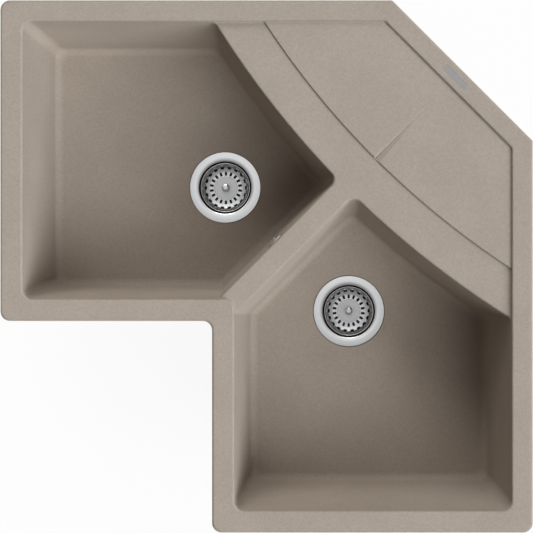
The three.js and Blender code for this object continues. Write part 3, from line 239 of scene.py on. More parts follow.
# ================ sink body
# One moulding of quartz granules in acrylic resin, cast mouth down and finished matt: rim, two
# bowls, lowered divider and band, raised drainboard with its channel. Sizes in millimetres.
MM = 0.001
SIDE, LEG, CORNER_CUT, SEAT_INSET = 830, 500, 219, 6
CORNER_ROUND, CUT_CORNER = 15, 4
RIM_TOP, RIM_EDGE_ROUND, RIM_INNER_ROUND = 9, 4, 3
RIM_WIDTH, RIM_WIDTH_BACK, RIM_WIDTH_CUT = 34.3, 32.6, 31
BOWL_DEPTH, WALL, FLOOR = 200, 9, 10
DRAFT = radians(4.6)
FLOOR_FILLET = 14
BOWL_CORNER, TIP_CORNER = 16, 15
BACK_CORNER, FRONT_CORNER = 12, 4
DIVIDER_WIDTH, DECK_EDGE_ROUND = 35.3, 3
DECK_DROP, DRAIN_DROP = 7.5, 4
ARC_CENTRE, ARC_RADIUS = 1222.5, 1434
STEP_CENTRE, STEP_RADIUS, STEP_WIDTH = 1186.7, 1320.6, 2.5
DECK_FOOT_ROUND, DRAIN_FOOT_ROUND, DRAIN_CORNER = 2, 3, 6
CHANNEL_LENGTH, CHANNEL_WIDTH, CHANNEL_STEEP, CHANNEL_OVERRUN = 130, 10, 2, 4
CUTOUT_INSET, SEAL_INSET, SEAL_WIDTH, SEAL_DEPTH = 12, 2.5, 6, 2
RIB_WIDTH, RIB_DEPTH, RIB_SPACING = 7, 14, 78
DRAIN_OFFSET, DRAIN_ALONG = 148.5, 158.5
FLANGE_RADIUS, FLANGE_CLEARANCE, RECESS_DEPTH = 60, 1, 2.6
DRAIN_HOLE = 47.5
OVERFLOW_DEPTH, OVERFLOW_HOLE = 26, 12
BOSS_RADIUS, BOSS_DEPTH, BOSS_WEB_WIDTH = 6.5, 30, 9
INSERT_RADIUS, INSERT_LENGTH = 4, 16
CLAMP_FRONT, CLAMP_SIDE, CLAMP_BACK, CLAMP_DRAIN = 146, 231, 186, 145
POCKET_LENGTH, POCKET_WIDTH, POCKET_DEPTH, POCKET_CORNER = 46, 9, 0.9, 0.6
GAP = 0.3
HIDDEN = 12  # how far the deck's cutter reaches into the bowls

DECK_Z = RIM_TOP - DECK_DROP
DRAIN_Z = RIM_TOP - DRAIN_DROP
UNDER_Z = DECK_Z - WALL
BOWL_Z = RIM_TOP - BOWL_DEPTH
BOWL_UNDER_Z = BOWL_Z - FLOOR
FAR = LEG - SEAT_INSET
NEAR = FAR - SIDE
NOTCH = -SEAT_INSET
DIAGONAL = sqrt(0.5)
CUT_DISTANCE = (2 * FAR - CORNER_CUT) * DIAGONAL
FRONT = NOTCH + RIM_WIDTH
LEFT = NEAR + RIM_WIDTH
BACK = FAR - RIM_WIDTH_BACK
CUT = CUT_DISTANCE - RIM_WIDTH_CUT
HALF_DIVIDER = DIVIDER_WIDTH / 2


@dataclass(frozen=True)
class Edge:
    """One edge of an outline, which runs counter-clockwise. A straight one has a unit normal that
    points inwards and its offset along it; a curved one has a centre on x = y, a radius, and side
    1 where the inside lies outside the circle. corner is the fillet where it meets the next edge,
    negative at a re-entrant one. hint is a point near there if one of the two is curved."""

    corner: float
    kind: str = ""
    hint: tuple = None
    normal: tuple = None
    offset: float = 0.0
    centre: tuple = None
    radius: float = 0.0
    side: int = 1

    def inset(self, by):
        if self.normal:
            return replace(self, offset=self.offset + by)
        return replace(self, radius=self.radius + self.side * by)

    def nearest(self, point):
        x, y = point
        if self.normal:
            off = self.normal[0] * x + self.normal[1] * y - self.offset
            return (x - self.normal[0] * off, y - self.normal[1] * off)
        dx, dy = x - self.centre[0], y - self.centre[1]
        scale = self.radius / hypot(dx, dy)
        return (self.centre[0] + dx * scale, self.centre[1] + dy * scale)

    def crossing(self, other, hint):
        if self.normal and other.normal:
            (ax, ay), (bx, by) = self.normal, other.normal
            det = ax * by - ay * bx
            return (
                (self.offset * by - other.offset * ay) / det, (other.offset * ax - self.offset * bx) / det
            )
        straight, curved = (self, other) if self.normal else (other, self)
        foot = straight.nearest(curved.centre)
        half = sqrt(curved.radius**2 - dist(foot, curved.centre) ** 2)
        nx, ny = straight.normal
        ends = [(foot[0] - ny * k, foot[1] + nx * k) for k in (half, -half)]
        return min(ends, key=lambda end: dist(end, hint))


def line(nx, ny, offset, corner, kind="", hint=None):
    return Edge(corner, kind, hint, normal=(nx, ny), offset=offset)


def arc(centre, radius, side, corner, kind, hint):
    return Edge(corner, kind, hint, centre=(centre, centre), radius=radius, side=side)


CORNER_PARTS = 12
ARC_PARTS = 56


def turn(centre, start, end, parts, first=0, last=None):
    """Points along the shorter way round a centre, from start to end."""
    begin = atan2(start[1] - centre[1], start[0] - centre[0])
    finish = atan2(end[1] - centre[1], end[0] - centre[0])
    sweep = atan2(sin(finish - begin), cos(finish - begin))
    radius = dist(start, centre)
    for k in range(first, parts + 1 if last is None else last):
        angle = begin + sweep * k / parts
        yield (centre[0] + radius * cos(angle), centre[1] + radius * sin(angle))


def ring(outline, z, shift):
    """The closed ring of an outline at height z, each edge moved inwards by shift or shift(edge)."""
    by = shift if callable(shift) else lambda edge: shift
    fillets = []
    for i, edge in enumerate(outline):
        following = outline[(i + 1) % len(outline)]
        a, b = edge.inset(by(edge)), following.inset(by(following))
        centre = a.inset(edge.corner).crossing(b.inset(edge.corner), edge.hint)
        fillets.append((a, centre, a.nearest(centre), b.nearest(centre)))
    points = []
    for i, (edge, centre, start, end) in enumerate(fillets):
        if edge.centre:
            points += turn(edge.centre, fillets[i - 1][3], start, ARC_PARTS, 1, ARC_PARTS)
        points += turn(centre, start, end, CORNER_PARTS)
    return [(x, y, z) for x, y in points]


def skin(rows, closed):
    """The faces between rows of point numbers, and from the last row to the first if closed."""
    for level, row in enumerate(rows if closed else rows[:-1]):
        above = rows[(level + 1) % len(rows)]
        for i in range(len(row)):
            j = (i + 1) % len(row)
            corners = tuple(dict.fromkeys((row[i], row[j], above[j], above[i])))
            if len(corners) > 2:
                yield corners


def loft(rings, round_again=False):
    """Points and faces of the closed solid through rings that are listed from the bottom up, or
    from the last ring round again to the first."""
    count = len(rings[0])
    rows = [range(k * count, (k + 1) * count) for k in range(len(rings))]
    ends = [] if round_again else [tuple(reversed(rows[0])), tuple(rows[-1])]
    return [point for hoop in rings for point in hoop], [*skin(rows, round_again), *ends]


def block(x0, x1, y0, y1, z0, z1):
    corners = [(x0, y0), (x1, y0), (x1, y1), (x0, y1)]
    return loft([[(x, y, z) for x, y in corners] for z in (z0, z1)])


def moved(shape, matrix):
    """The shape carried by a matrix, its faces turned round where that mirrors it."""
    points, faces = shape
    mirrors = matrix.to_3x3().determinant() < 0
    faces = [tuple(reversed(face)) for face in faces] if mirrors else faces
    return [tuple(matrix @ Vector(point)) for point in points], faces


MIRROR = Matrix(((0, 1, 0, 0), (1, 0, 0, 0), (0, 0, 1, 0), (0, 0, 0, 1)))


def turned(shape, degrees, x=0, y=0, z=0):
    return moved(shape, Matrix.Translation((x, y, z)) @ Matrix.Rotation(radians(degrees), 4, "Z"))


def lathe(profile, parts=64, rounds=5):
    """A solid turned about Z. Its profile, which is eased first, runs up the outside and down the
    inside. It starts and ends on the axis or is closed on itself."""
    profile = eased(profile, rounds)
    closed = profile[0] == profile[-1]
    stations = profile[:-1] if closed else profile
    points, rows = [], []
    for radius, z in stations:
        if radius == 0:
            rows.append([len(points)] * parts)
            points.append((0, 0, z))
            continue
        rows.append(range(len(points), len(points) + parts))
        angles = (2 * pi * k / parts for k in range(parts))
        points += [(radius * cos(a), radius * sin(a), z) for a in angles]
    return points, list(skin(rows, closed))


def rod(radius, bottom, top, parts=48):
    return lathe([(0, bottom), (radius, bottom), (radius, top), (0, top)], parts)


def tube(outer, inner, bottom, top, round_out=(), round_in=()):
    """The profile of a tube, and the rounding of its outer and inner edges if they have one."""
    corners = [(outer, bottom, *round_out), (outer, top, *round_out), (inner, top, *round_in)]
    return [(inner, bottom, *round_in), *corners, (inner, bottom, *round_in)]


def piece(name, shape, crease=35, **work):
    """An object from a shape in millimetres, smooth where faces meet under the crease angle, and
    worked on with other shapes if some are given."""
    mesh = bpy.data.meshes.new(name)
    mesh.from_pydata([Vector(point) * MM for point in shape[0]], [], shape[1])
    made = bpy.data.objects.new(name, mesh)
    scene.collection.objects.link(made)
    smooth(made, crease)
    return worked(made, crease, **work) if work else made


def smooth(made, crease):
    work = bmesh.new()
    work.from_mesh(made.data)
    for face in work.faces:
        face.smooth = True
    for edge in work.edges:
        edge.smooth = edge.calc_face_angle(0) < radians(crease)
    work.to_mesh(made.data)
    work.free()


def worked(made, crease=35, kept=(), joined=(), cut=()):
    """Keeps what of a piece lies in some shapes, joins others to it and cuts the last out of it."""
    tools = []
    for operation, shapes in (("INTERSECT", kept), ("UNION", joined), ("DIFFERENCE", cut)):
        for shape in shapes:
            tool = piece("tool", shape)
            tools.append(tool)
            modifier = made.modifiers.new(operation, "BOOLEAN")
            modifier.operation, modifier.solver, modifier.object = operation, "MANIFOLD", tool
    bpy.context.view_layer.update()
    mesh = bpy.data.meshes.new_from_object(made.evaluated_get(bpy.context.evaluated_depsgraph_get()))
    made.modifiers.clear()
    made.data = mesh
    for tool in tools:
        bpy.data.meshes.remove(tool.data)
    smooth(made, crease)
    return made


def eased(points, parts=5):
    """A profile with rounded corners: a point is (radius, height), or has its rounding as well."""
    closed = points[0] == points[-1]
    stations = points[:-1] if closed else points
    out = []
    for i, (x, z, *rounding) in enumerate(stations):
        if not rounding:
            out.append((x, z))
            continue
        here = Vector((x, z))
        back = Vector(stations[i - 1][:2]) - here
        on = Vector(stations[(i + 1) % len(stations)][:2]) - here
        half = back.angle(on) / 2
        reach = min(rounding[0] / tan(half), 0.49 * back.length, 0.49 * on.length)
        back.normalize()
        on.normalize()
        centre = here + (back + on).normalized() * (reach / cos(half))
        out += turn(tuple(centre), tuple(here + back * reach), tuple(here + on * reach), parts)
    return out + out[:1] if closed else out


rim_outline = [
    line(1, 0, NOTCH, CORNER_ROUND), line(0, 1, NEAR, CORNER_ROUND), line(-1, 0, -FAR, CUT_CORNER),
    line(-DIAGONAL, -DIAGONAL, -CUT_DISTANCE, CUT_CORNER), line(0, -1, -FAR, CORNER_ROUND),
    line(1, 0, NEAR, CORNER_ROUND), line(0, 1, NOTCH, -CORNER_ROUND)
]
arc_centre = NOTCH + ARC_CENTRE
step_centre = NOTCH + STEP_CENTRE
bowl_outline = [
    line(0, 1, FRONT, FRONT_CORNER, "rim"),
    line(-DIAGONAL, DIAGONAL, HALF_DIVIDER, TIP_CORNER, "deck", (160, 190)),
    arc(arc_centre, ARC_RADIUS, 1, BACK_CORNER, "deck", (-8, BACK)),
    line(0, -1, -BACK, BOWL_CORNER, "rim"), line(1, 0, LEFT, BOWL_CORNER, "rim")
]
arc_distance = arc_centre / DIAGONAL - ARC_RADIUS
step_distance = step_centre / DIAGONAL - STEP_RADIUS
hidden_divider = HALF_DIVIDER + HIDDEN


def beside_mirror(along, across):
    """A point by its distance along the mirror plane and across it."""
    return (along - across) * DIAGONAL, (along + across) * DIAGONAL


hidden_tips = [beside_mirror(arc_distance, side * hidden_divider) for side in (-1, 1)]


def deck_outline(*far_side):
    """The lowered deck of divider and band, out to the far side that is given."""
    return [
        line(1, 0, FRONT, 1, "rim"),
        line(-DIAGONAL, DIAGONAL, -hidden_divider, -1, "hidden", hidden_tips[0]),
        arc(arc_centre, ARC_RADIUS + HIDDEN, -1, 1, "hidden", (BACK, -25)), *far_side,
        line(0, -1, -BACK, 1, "rim", (-25, BACK)),
        arc(arc_centre, ARC_RADIUS + HIDDEN, -1, -1, "hidden", hidden_tips[1]),
        line(DIAGONAL, -DIAGONAL, -hidden_divider, 1, "hidden"), line(0, 1, FRONT, -CORNER_ROUND, "rim")
    ]


drain_step = arc(step_centre, STEP_RADIUS, 1, 1, "step", (70, BACK))
band_outline = deck_outline(line(-1, 0, -BACK, 1, "rim", (BACK, 70)), drain_step)
drain_outline = deck_outline(
    line(-1, 0, -BACK, DRAIN_CORNER, "rim"), line(-DIAGONAL, -DIAGONAL, -CUT, DRAIN_CORNER, "rim")
)

TOP_OF = {"rim": RIM_TOP, "deck": DECK_Z}


def drafted(edge, z):
    """How far a drafted wall has moved inwards at height z."""
    return (TOP_OF[edge.kind] - z) * tan(DRAFT) if edge.kind in TOP_OF else 0


def spread(count, start, end):
    return [start + (end - start) * k / count for k in range(count + 1)]


def rounded_edge(outline, kind, top, radius, hold):
    """Rings of the rounding over the top edge of one kind of wall, the other walls held."""
    tangent = top - radius + radius * sin(DRAFT)
    for angle in spread(6, DRAFT, pi / 2):
        z = top - radius + radius * sin(angle)
        back = radius * (cos(DRAFT) - cos(angle))

        def shift(edge):
            return drafted(edge, tangent) - back if edge.kind == kind else hold(edge, z)

        yield ring(outline, z, shift)


def floor_fillet(outline, floor_z, radius, outset=0):
    """Rings of the fillet where drafted walls run into a floor."""
    tangent = floor_z + radius * (1 - sin(DRAFT))
    for angle in spread(10, 0, pi / 2 - DRAFT):
        z = floor_z + radius * (1 - cos(angle))
        inward = radius * (cos(DRAFT) - sin(angle)) - outset
        yield ring(outline, z, lambda edge: drafted(edge, tangent) + inward)


def opened(rings):
    """The rings, and one more above the rim's top for a cutter to come out of it."""
    rings = list(rings)
    return [*rings, [(x, y, RIM_TOP + 1) for x, y, _ in rings[-1]]]


def bowl_hollow():
    def hold(edge, z):
        return drafted(edge, z) if edge.kind == "rim" else -DECK_EDGE_ROUND * cos(DRAFT)

    fillet = floor_fillet(bowl_outline, BOWL_Z, FLOOR_FILLET)
    deck = rounded_edge(bowl_outline, "deck", DECK_Z, DECK_EDGE_ROUND, drafted)
    over = rounded_edge(bowl_outline, "rim", RIM_TOP, RIM_INNER_ROUND, hold)
    return loft([*fillet, *deck, *opened(over)])


def bowl_shell():
    wall = WALL / cos(DRAFT)
    top = ring(bowl_outline, DECK_Z - DECK_EDGE_ROUND, lambda edge: drafted(edge, DECK_Z) - wall)
    return loft([*floor_fillet(bowl_outline, BOWL_UNDER_Z, FLOOR_FILLET + WALL, wall), top])


def step_shift(z):
    """The slanting step from the band up to the drainboard, moved outwards as it rises."""
    return -STEP_WIDTH * min(1, max(0, (z - DECK_Z) / (DRAIN_Z - DECK_Z)))


def deck_space(outline, floor_z, foot, levels=()):
    """The space above a lowered deck, with a small round where the rim's wall meets it."""

    def level(z, extra=0.0):
        def shift(edge):
            if edge.kind == "step":
                return step_shift(z)
            return drafted(edge, z) + extra if edge.kind == "rim" else 0

        return ring(outline, z, shift)

    def hold(edge, z):
        return step_shift(RIM_TOP) if edge.kind == "step" else 0

    over = rounded_edge(outline, "rim", RIM_TOP, RIM_INNER_ROUND, hold)
    turns = spread(5, 0, pi / 2)
    rounded_foot = [level(floor_z + foot * (1 - cos(a)), foot * (1 - sin(a))) for a in turns]
    return loft([*rounded_foot, *(level(z) for z in levels), *opened(over)])


def channel():
    """The channel that leads from the drainboard down to the band, shallow at its start."""
    reach = step_distance - STEP_WIDTH - CHANNEL_OVERRUN
    start = step_distance + CHANNEL_LENGTH
    slope = (DRAIN_Z - DECK_Z) / CHANNEL_LENGTH

    def section(along, depth):
        rise = 1
        share = (depth + rise) / (DRAIN_Z - DECK_Z)
        corners = [
            (CHANNEL_STEEP * share, DRAIN_Z + rise), (-CHANNEL_WIDTH * share, DRAIN_Z + rise),
            (0, DRAIN_Z - depth)
        ]
        return [(*beside_mirror(along, a), z) for a, z in corners]

    points = section(reach, slope * (start - reach)) + section(start, 0)
    return points, [(0, 2, 1), (3, 4, 5), (0, 1, 4, 3), (1, 2, 5, 4), (2, 0, 3, 5)]


drain_along = DRAIN_ALONG + NOTCH / DIAGONAL
DRAIN_X, DRAIN_Y = beside_mirror(drain_along, DRAIN_OFFSET)


def mirror_place(across, z):
    """A point level with the drains, by its distance from the mirror plane and its height."""
    return Vector((*beside_mirror(drain_along, across), z))


overflow_z = DECK_Z - OVERFLOW_DEPTH
overflow_wall = HALF_DIVIDER + OVERFLOW_DEPTH * tan(DRAFT)
along = Vector((DIAGONAL, DIAGONAL, 0))
facing = Vector((-DIAGONAL * cos(DRAFT), DIAGONAL * cos(DRAFT), sin(DRAFT)))
IN_OVERFLOW = Matrix((along, facing.cross(along), facing)).transposed().to_4x4()
IN_OVERFLOW.translation = mirror_place(overflow_wall, overflow_z)

SCREW_INSET = CUTOUT_INSET + BOSS_RADIUS + GAP
CLAMP_PLACES = [
    (NEAR + CLAMP_FRONT, NOTCH + SCREW_INSET, -90), (NEAR + SCREW_INSET, NOTCH + CLAMP_SIDE, 180),
    (NEAR + CLAMP_BACK, FAR - SCREW_INSET, 90), (FAR - CORNER_CUT - CLAMP_DRAIN, FAR - SCREW_INSET, 90)
]
INSERT_TOP = INSERT_LENGTH + GAP - BOSS_DEPTH


post = rod(BOSS_RADIUS, -BOSS_DEPTH, UNDER_Z + 1)
half = BOSS_WEB_WIDTH / 2
web = block(SCREW_INSET - RIM_WIDTH, 0, -half, half, -BOSS_DEPTH, UNDER_Z + 1)
boss_hole = rod(INSERT_RADIUS + GAP, -BOSS_DEPTH - 1, INSERT_TOP + GAP)
bosses = [turned(part, out, x, y) for x, y, out in CLAMP_PLACES for part in (post, web)]
boss_holes = [turned(boss_hole, 0, *at) for x, y, _ in CLAMP_PLACES for at in ((x, y), (y, x))]

ribs = []  # under the drainboard, across the mirror plane
rib = arc_distance + RIB_SPACING
while rib < CUT_DISTANCE - RIM_WIDTH_CUT - RIB_WIDTH:
    reach, half = BACK / DIAGONAL - rib - WALL, RIB_WIDTH / 2
    bar = block(rib - half, rib + half, -reach, reach, UNDER_Z - RIB_DEPTH, UNDER_Z + 1)
    ribs.append(turned(bar, 45))
    rib += RIB_SPACING


def rim_plate(bottom, top, by):
    return loft([ring(rim_outline, z, by) for z in (bottom, top)])


def rim_strip(stations):
    """A strip that follows the rim: its section as (inset from the rim's edge, height) pairs, up
    the outside and down the inside."""
    return loft([ring(rim_outline, z, by) for by, z in stations], round_again=True)


def prism(outline, bottom, top, rounds=5):
    outline = eased(outline, rounds)
    return loft([[(x, y, z) for x, y in outline] for z in (bottom, top)])


def window(length, width, rounding, bottom, top):
    """A cutter for a slot along X with rounded corners."""
    x, y = length / 2, width / 2
    corners = [(-x, -y, rounding), (x, -y, rounding), (x, y, rounding), (-x, y, rounding)]
    return prism(corners, bottom, top, 4)


def badge_pocket(length, width, bottom, top):
    """A place in the middle of the cut-off rim, along it."""
    at = (CUT_DISTANCE - RIM_WIDTH_CUT / 2) * DIAGONAL
    return turned(window(length, width, POCKET_CORNER, bottom, top), -45, at, at)


rim_edge = [
    ring(rim_outline, RIM_TOP - RIM_EDGE_ROUND * (1 - sin(a)), RIM_EDGE_ROUND * (1 - cos(a)))
    for a in spread(8, 0, pi / 2)
]
rim = loft([ring(rim_outline, 0, 0), *rim_edge])
recess_radius, recess_z = FLANGE_RADIUS + FLANGE_CLEARANCE, BOWL_Z - RECESS_DEPTH
drain_recess = [
    (0, BOWL_UNDER_Z - 1), (DRAIN_HOLE, BOWL_UNDER_Z - 1), (DRAIN_HOLE, recess_z),
    (recess_radius, recess_z), (recess_radius, BOWL_Z + 1), (0, BOWL_Z + 1)
]
drain_recess = lathe(drain_recess, 96)
groove_outer, groove_inner = SEAL_INSET - GAP, SEAL_INSET + SEAL_WIDTH + GAP
seal_groove = rim_strip(
    [(groove_outer, -1), (groove_outer, SEAL_DEPTH), (groove_inner, SEAL_DEPTH), (groove_inner, -1)]
)
shell, hollow = bowl_shell(), bowl_hollow()
sink = piece(
    "sink_moulding", rim,
    joined=[
        rim_plate(UNDER_Z, RIM_TOP / 2, CUTOUT_INSET), shell, moved(shell, MIRROR),
        *(made for part in bosses for made in (part, moved(part, MIRROR))), *ribs
    ],
    cut=[
        seal_groove, badge_pocket(POCKET_LENGTH, POCKET_WIDTH, RIM_TOP - POCKET_DEPTH, RIM_TOP + 1),
        hollow, moved(hollow, MIRROR), deck_space(band_outline, DECK_Z, DECK_FOOT_ROUND, [DRAIN_Z]),
        deck_space(drain_outline, DRAIN_Z, DRAIN_FOOT_ROUND), channel(),
        turned(drain_recess, 0, DRAIN_X, DRAIN_Y), turned(drain_recess, 0, DRAIN_Y, DRAIN_X),
        moved(rod(OVERFLOW_HOLE, -2 * WALL, WALL, 64), IN_OVERFLOW), *boss_holes
    ]
)
sink.modifiers.new("even shading", "WEIGHTED_NORMAL").keep_sharp = True

composite = new_finish("speckled_composite")
here = place()
mottle = noise(here, 11.0, 3.0)
grit = noise(here, 1500.0, 3.0, 0.65)
granules = Wire.node("TexVoronoi", {"Vector": here, "Scale": 750.0}, out="Color")
pick = Wire.node("SeparateColor", {0: granules})
light_grain = pick.between(0.80, 0.92)
dark_grain = pick.other("Green").between(0.82, 0.94)
body = blend(mottle.between(0.35, 0.65), (173, 162, 151), (177, 166, 155))
body = blend(light_grain * 0.2, body, (196, 186, 175))
body = blend(dark_grain * 0.2, body, (126, 115, 105))
body = blend(noise(here, 300.0, 1.0).between(0.3, 0.7) * 0.22, body, (152, 141, 130))
surface(body, 0.62 + 0.12 * grit, bump(grit + light_grain * 0.4, 0.00012, 0.2), specular=0.03)


def dressed(made, finish, slot, *nodes, body="sink"):
    """Gives a piece its finish, and the body and nodes of the CAD model that it stands for."""
    made.data.materials.clear()
    made.data.materials.append(finish)
    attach(made, body)
    if nodes:
        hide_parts(*nodes)


dressed(sink, composite, "composite", "sink_body")

# ================ rim seal
# A closed-cell foam strip laid in the groove under the rim, where it is squeezed against the
# worktop. It is cut from sheet and joined end to end.
SEAL_EASE = 0.5

SEAL_TOP = SEAL_DEPTH - GAP
seal_inner = SEAL_INSET + SEAL_WIDTH
seal_section = [
    (SEAL_INSET + SEAL_EASE, 0), (SEAL_INSET, SEAL_EASE), (SEAL_INSET, SEAL_TOP), (seal_inner, SEAL_TOP),
    (seal_inner, SEAL_EASE), (seal_inner - SEAL_EASE, 0)
]
rim_seal = piece("rim_seal_strip", rim_strip(seal_section), 60)

foam = new_finish("closed_cell_foam")
cells = Wire.node("TexVoronoi", {"Vector": place(), "Scale": 1900.0})
surface(
    blend(noise(place(), 60.0), (58, 58, 59), (74, 74, 75)), 0.9 + 0.08 * cells, bump(cells, 0.0002, 0.6)
)
dressed(rim_seal, foam, "foam", "rim_seal")

# ================ strainer wastes
# One basket strainer waste in each bowl, made alike: a pressed stainless dish clamped through
# the floor to a moulded housing by one screw, with a basket that lifts out, rubber plug and all.
SHEET = 1.2
FLANGE_CROWN, FLANGE_FALL, SEAL_MARGIN = 0.5, 0.6, 2
DISH_RADIUS, WALL_DEPTH, DISH_DEPTH, SEAT_RADIUS = 45.5, 22, 33, 32
DISH_LIP_WIDTH, DISH_LIP_CURVE, DISH_LIP_SLOPE = 6.7, 17, radians(20)
DISH_SLOTS, DISH_SPOKE_WIDTH, DISH_SLOT_BORDER = 6, 5, 3.5
BASKET_RADIUS, BASKET_SINK, BASKET_DEPTH, BASKET_FLOOR = 41.9, 3, 15, 27.5
SIDE_FOOT_RADIUS, SIDE_FOOT_RISE, SIDE_FOOT_ROUND = 35, 2.2, 2
BASKET_BEAD, BASKET_SHEET, MIDDLE_RADIUS, BASKET_STEP = 0.8, 0.8, 19.2, 0.5
BASKET_SLOTS, BASKET_SLOT_RADIUS, BASKET_SLOT_LENGTH, BASKET_SLOT_WIDTH = 18, 24.5, 6.6, 4.1
BASKET_HOLE_WIDTH, BASKET_HOLE_LENGTH, BASKET_HOLE_SHARE = 6.4, 4.8, 0.03
FIRST_SLOT = 90
KNOB_RADIUS, KNOB_HEIGHT, NECK_RADIUS, NECK_HEIGHT, KNOB_FOOT = 6.4, 8, 3.6, 5, 3
KNOB_FLAT_RADIUS, KNOB_SLOPE, KNOB_SKIRT = 3.0, 1.1, 2.6
PLUG_DEPTH, PLUG_LIP = 4, 3
STEM_RADIUS, TIP_RADIUS, TIP_LENGTH, STEM_WAIST = 2.4, 3, 7, 0.8
STEM_COLLAR, COLLAR_DEPTH = 3, 2
CENTRE_RADIUS, CENTRE_LENGTH, SOCKET_WALL = 4, 22, 1.5
CENTRE_HEAD, CENTRE_HEAD_DEPTH = 9, 3
GASKET_THICKNESS, GASKET_WIDTH = 3, 5
HOUSING_WALL, HOUSING_ROOM, HOUSING_RIM, HOUSING_DEPTH, HOUSING_CONE = 3, 1.4, 4, 44, 18
OUTLET_RADIUS, OUTLET_BORE, OUTLET_LENGTH = 23.9, 20.4, 30
THREADED_LENGTH, OUTLET_PITCH, OUTLET_THREAD = 20, 2.3, 1.1
SPIDER_ARMS, SPIDER_ARM_WIDTH, SPIDER_HEIGHT, SPIDER_HUB, SPIDER_TURN = 3, 7, 8, 9, 15
SPIGOT_RADIUS, SPIGOT_BORE, PORT_LENGTH, PORT_COLLAR = 6, 4.6, 18, 5
HOSE_RADIUS, HOSE_DROP = 9.6, 26
CLEARANCE = 0.4

basket_rim = -BASKET_SINK
basket_floor = basket_rim - BASKET_DEPTH
dish_inner = DISH_RADIUS - SHEET
plug_radius = (DISH_RADIUS + SEAT_RADIUS) / 2
seat_share = (dish_inner - plug_radius) / (dish_inner - SEAT_RADIUS + SHEET / 2)
plug_bottom = -WALL_DEPTH - seat_share * (DISH_DEPTH - WALL_DEPTH) + 2 * GAP
plug_top = plug_bottom + PLUG_DEPTH
collar_under = plug_bottom - COLLAR_DEPTH
stem_tip = collar_under - TIP_LENGTH
spider_top = -DISH_DEPTH - SHEET - GAP
housing_top = -FLOOR - 2 * GAP - GASKET_THICKNESS
housing_inner = DISH_RADIUS + HOUSING_ROOM
housing_outer = housing_inner + HOUSING_WALL
cone_top = housing_top - HOUSING_DEPTH
cone_bottom = cone_top - HOUSING_CONE
outlet_end = cone_bottom - OUTLET_LENGTH
port_z = -FLOOR - HOSE_DROP
DRAINS = (("left", DRAIN_X, DRAIN_Y), ("right", DRAIN_Y, DRAIN_X))


def brushed(name, dark, light, roughness, scratch, scale, painted_shade_span=None, matt=None, metallic=1.0):
    """Stainless steel with fine rings turned into it about the piece's own axis. Where two heights
    in metres are given, it is painted dark grey below them: a painted shade for the dark hollow
    of a cup. Within the radius matt it is duller than outside."""
    finish = new_finish(name)
    here = place()
    apart = Wire.node("SeparateXYZ", {0: here})
    radius = (apart * apart + apart.other("Y") * apart.other("Y")).math("SQRT")
    ring_at = Wire.node("CombineXYZ", {0: radius, 1: apart.other("Z") * 0.2})
    rings = noise(ring_at, scale, 4.0, 0.7)
    cloud = noise(here, 45.0, 3.0)
    shade = blend(cloud * 0.6 + rings * 0.4, dark, light)
    if painted_shade_span:
        # Painted shade: below the given heights the steel turns dark grey, standing in for the shadow deep
        # in the cup.
        shade = blend(apart.other("Z").between(*painted_shade_span), (78, 77, 75), shade)
    duller = (1 - radius.between(0.97 * matt, matt)) * MATT_MIDDLE if matt else 0
    surface(
        shade, roughness + 0.12 * rings + 0.05 * cloud + duller, bump(rings, 0.00002, scratch), metallic
    )
    return finish


# Painted shade for the dish: heights in metres from the bowl floor, between which its steel darkens to
# grey. This stands in for the shadow in the gap round the basket and down the cup.
dish_painted_shade_span = (-0.011, -0.002)
MATT_MIDDLE = 0.24
dish_steel = brushed("dish_steel", (214, 215, 216), (230, 231, 232), 0.10, 0.25, 1400.0, painted_shade_span=dish_painted_shade_span)
satin_steel = brushed("satin_steel", (206, 207, 209), (224, 225, 227), 0.20, 0.35, 1400.0)
basket_matt = MIDDLE_RADIUS * MM
basket_steel = brushed(
    "basket_steel", (200, 201, 203), (216, 217, 218), 0.10, 0.25, 900.0, matt=basket_matt, metallic=0.88
)
polished_steel = brushed("polished_steel", (196, 197, 199), (214, 215, 216), 0.08, 0.15, 700.0)

black_rubber = new_finish("black_rubber")
bloom = noise(place(), 120.0, 4.0)
surface(
    blend(bloom, (24, 24, 25), (40, 40, 41)), 0.62 + 0.2 * bloom,
    bump(noise(place(), 2600.0), 0.00005, 0.5)
)

plastic = new_finish("moulded_white_plastic")
flow = noise(place(), 30.0, 2.0)
orange_peel = noise(place(), 1800.0, 2.0)
surface(
    blend(flow, (224, 224, 220), (233, 233, 230)), 0.42 + 0.14 * orange_peel,
    bump(orange_peel, 0.00006, 0.35)
)


def stood(first, name, at):
    """Stands a piece at a place in millimetres, or if it already has one a copy that shares its mesh."""
    made = first
    if "_look" in first.name:
        made = bpy.data.objects.new(name, first.data)
        scene.collection.objects.link(made)
    made.name = f"{name}_look"
    made.location = Vector(at) * MM
    return made


def at_drains(node, finish, slot, shape, crease=35, cut=(), lifts=False):
    """One piece at each drain. The ones that lift ride with their basket."""
    first = piece(node, shape, crease, cut=cut)
    for side, x, y in DRAINS:
        made = stood(first, f"{side}_{node}", (x, y, BOWL_Z))
        body = f"{side}_strainer" if lifts else "sink"
        dressed(made, finish, slot, f"{side}_{node}", body=body)


hub = CENTRE_RADIUS + CLEARANCE
crest = dish_inner + DISH_LIP_WIDTH
lip = [
    (crest - DISH_LIP_CURVE * sin(a), FLANGE_CROWN - DISH_LIP_CURVE * (1 - cos(a)))
    for a in spread(6, 0, DISH_LIP_SLOPE)
]
dish = [
    (hub, -DISH_DEPTH - SHEET), (SEAT_RADIUS, -DISH_DEPTH - SHEET, 3),
    (DISH_RADIUS, -WALL_DEPTH - SHEET, 4), (DISH_RADIUS, -SHEET, 0.5), (FLANGE_RADIUS, -SHEET, 0.3),
    (FLANGE_RADIUS, FLANGE_CROWN - FLANGE_FALL, 0.6), *lip, (dish_inner, lip[-1][1] - 0.6, 0.5),
    (dish_inner, -WALL_DEPTH, 3), (SEAT_RADIUS - SHEET / 2, -DISH_DEPTH, 3), (hub, -DISH_DEPTH),
    (hub, -DISH_DEPTH - SHEET)
]


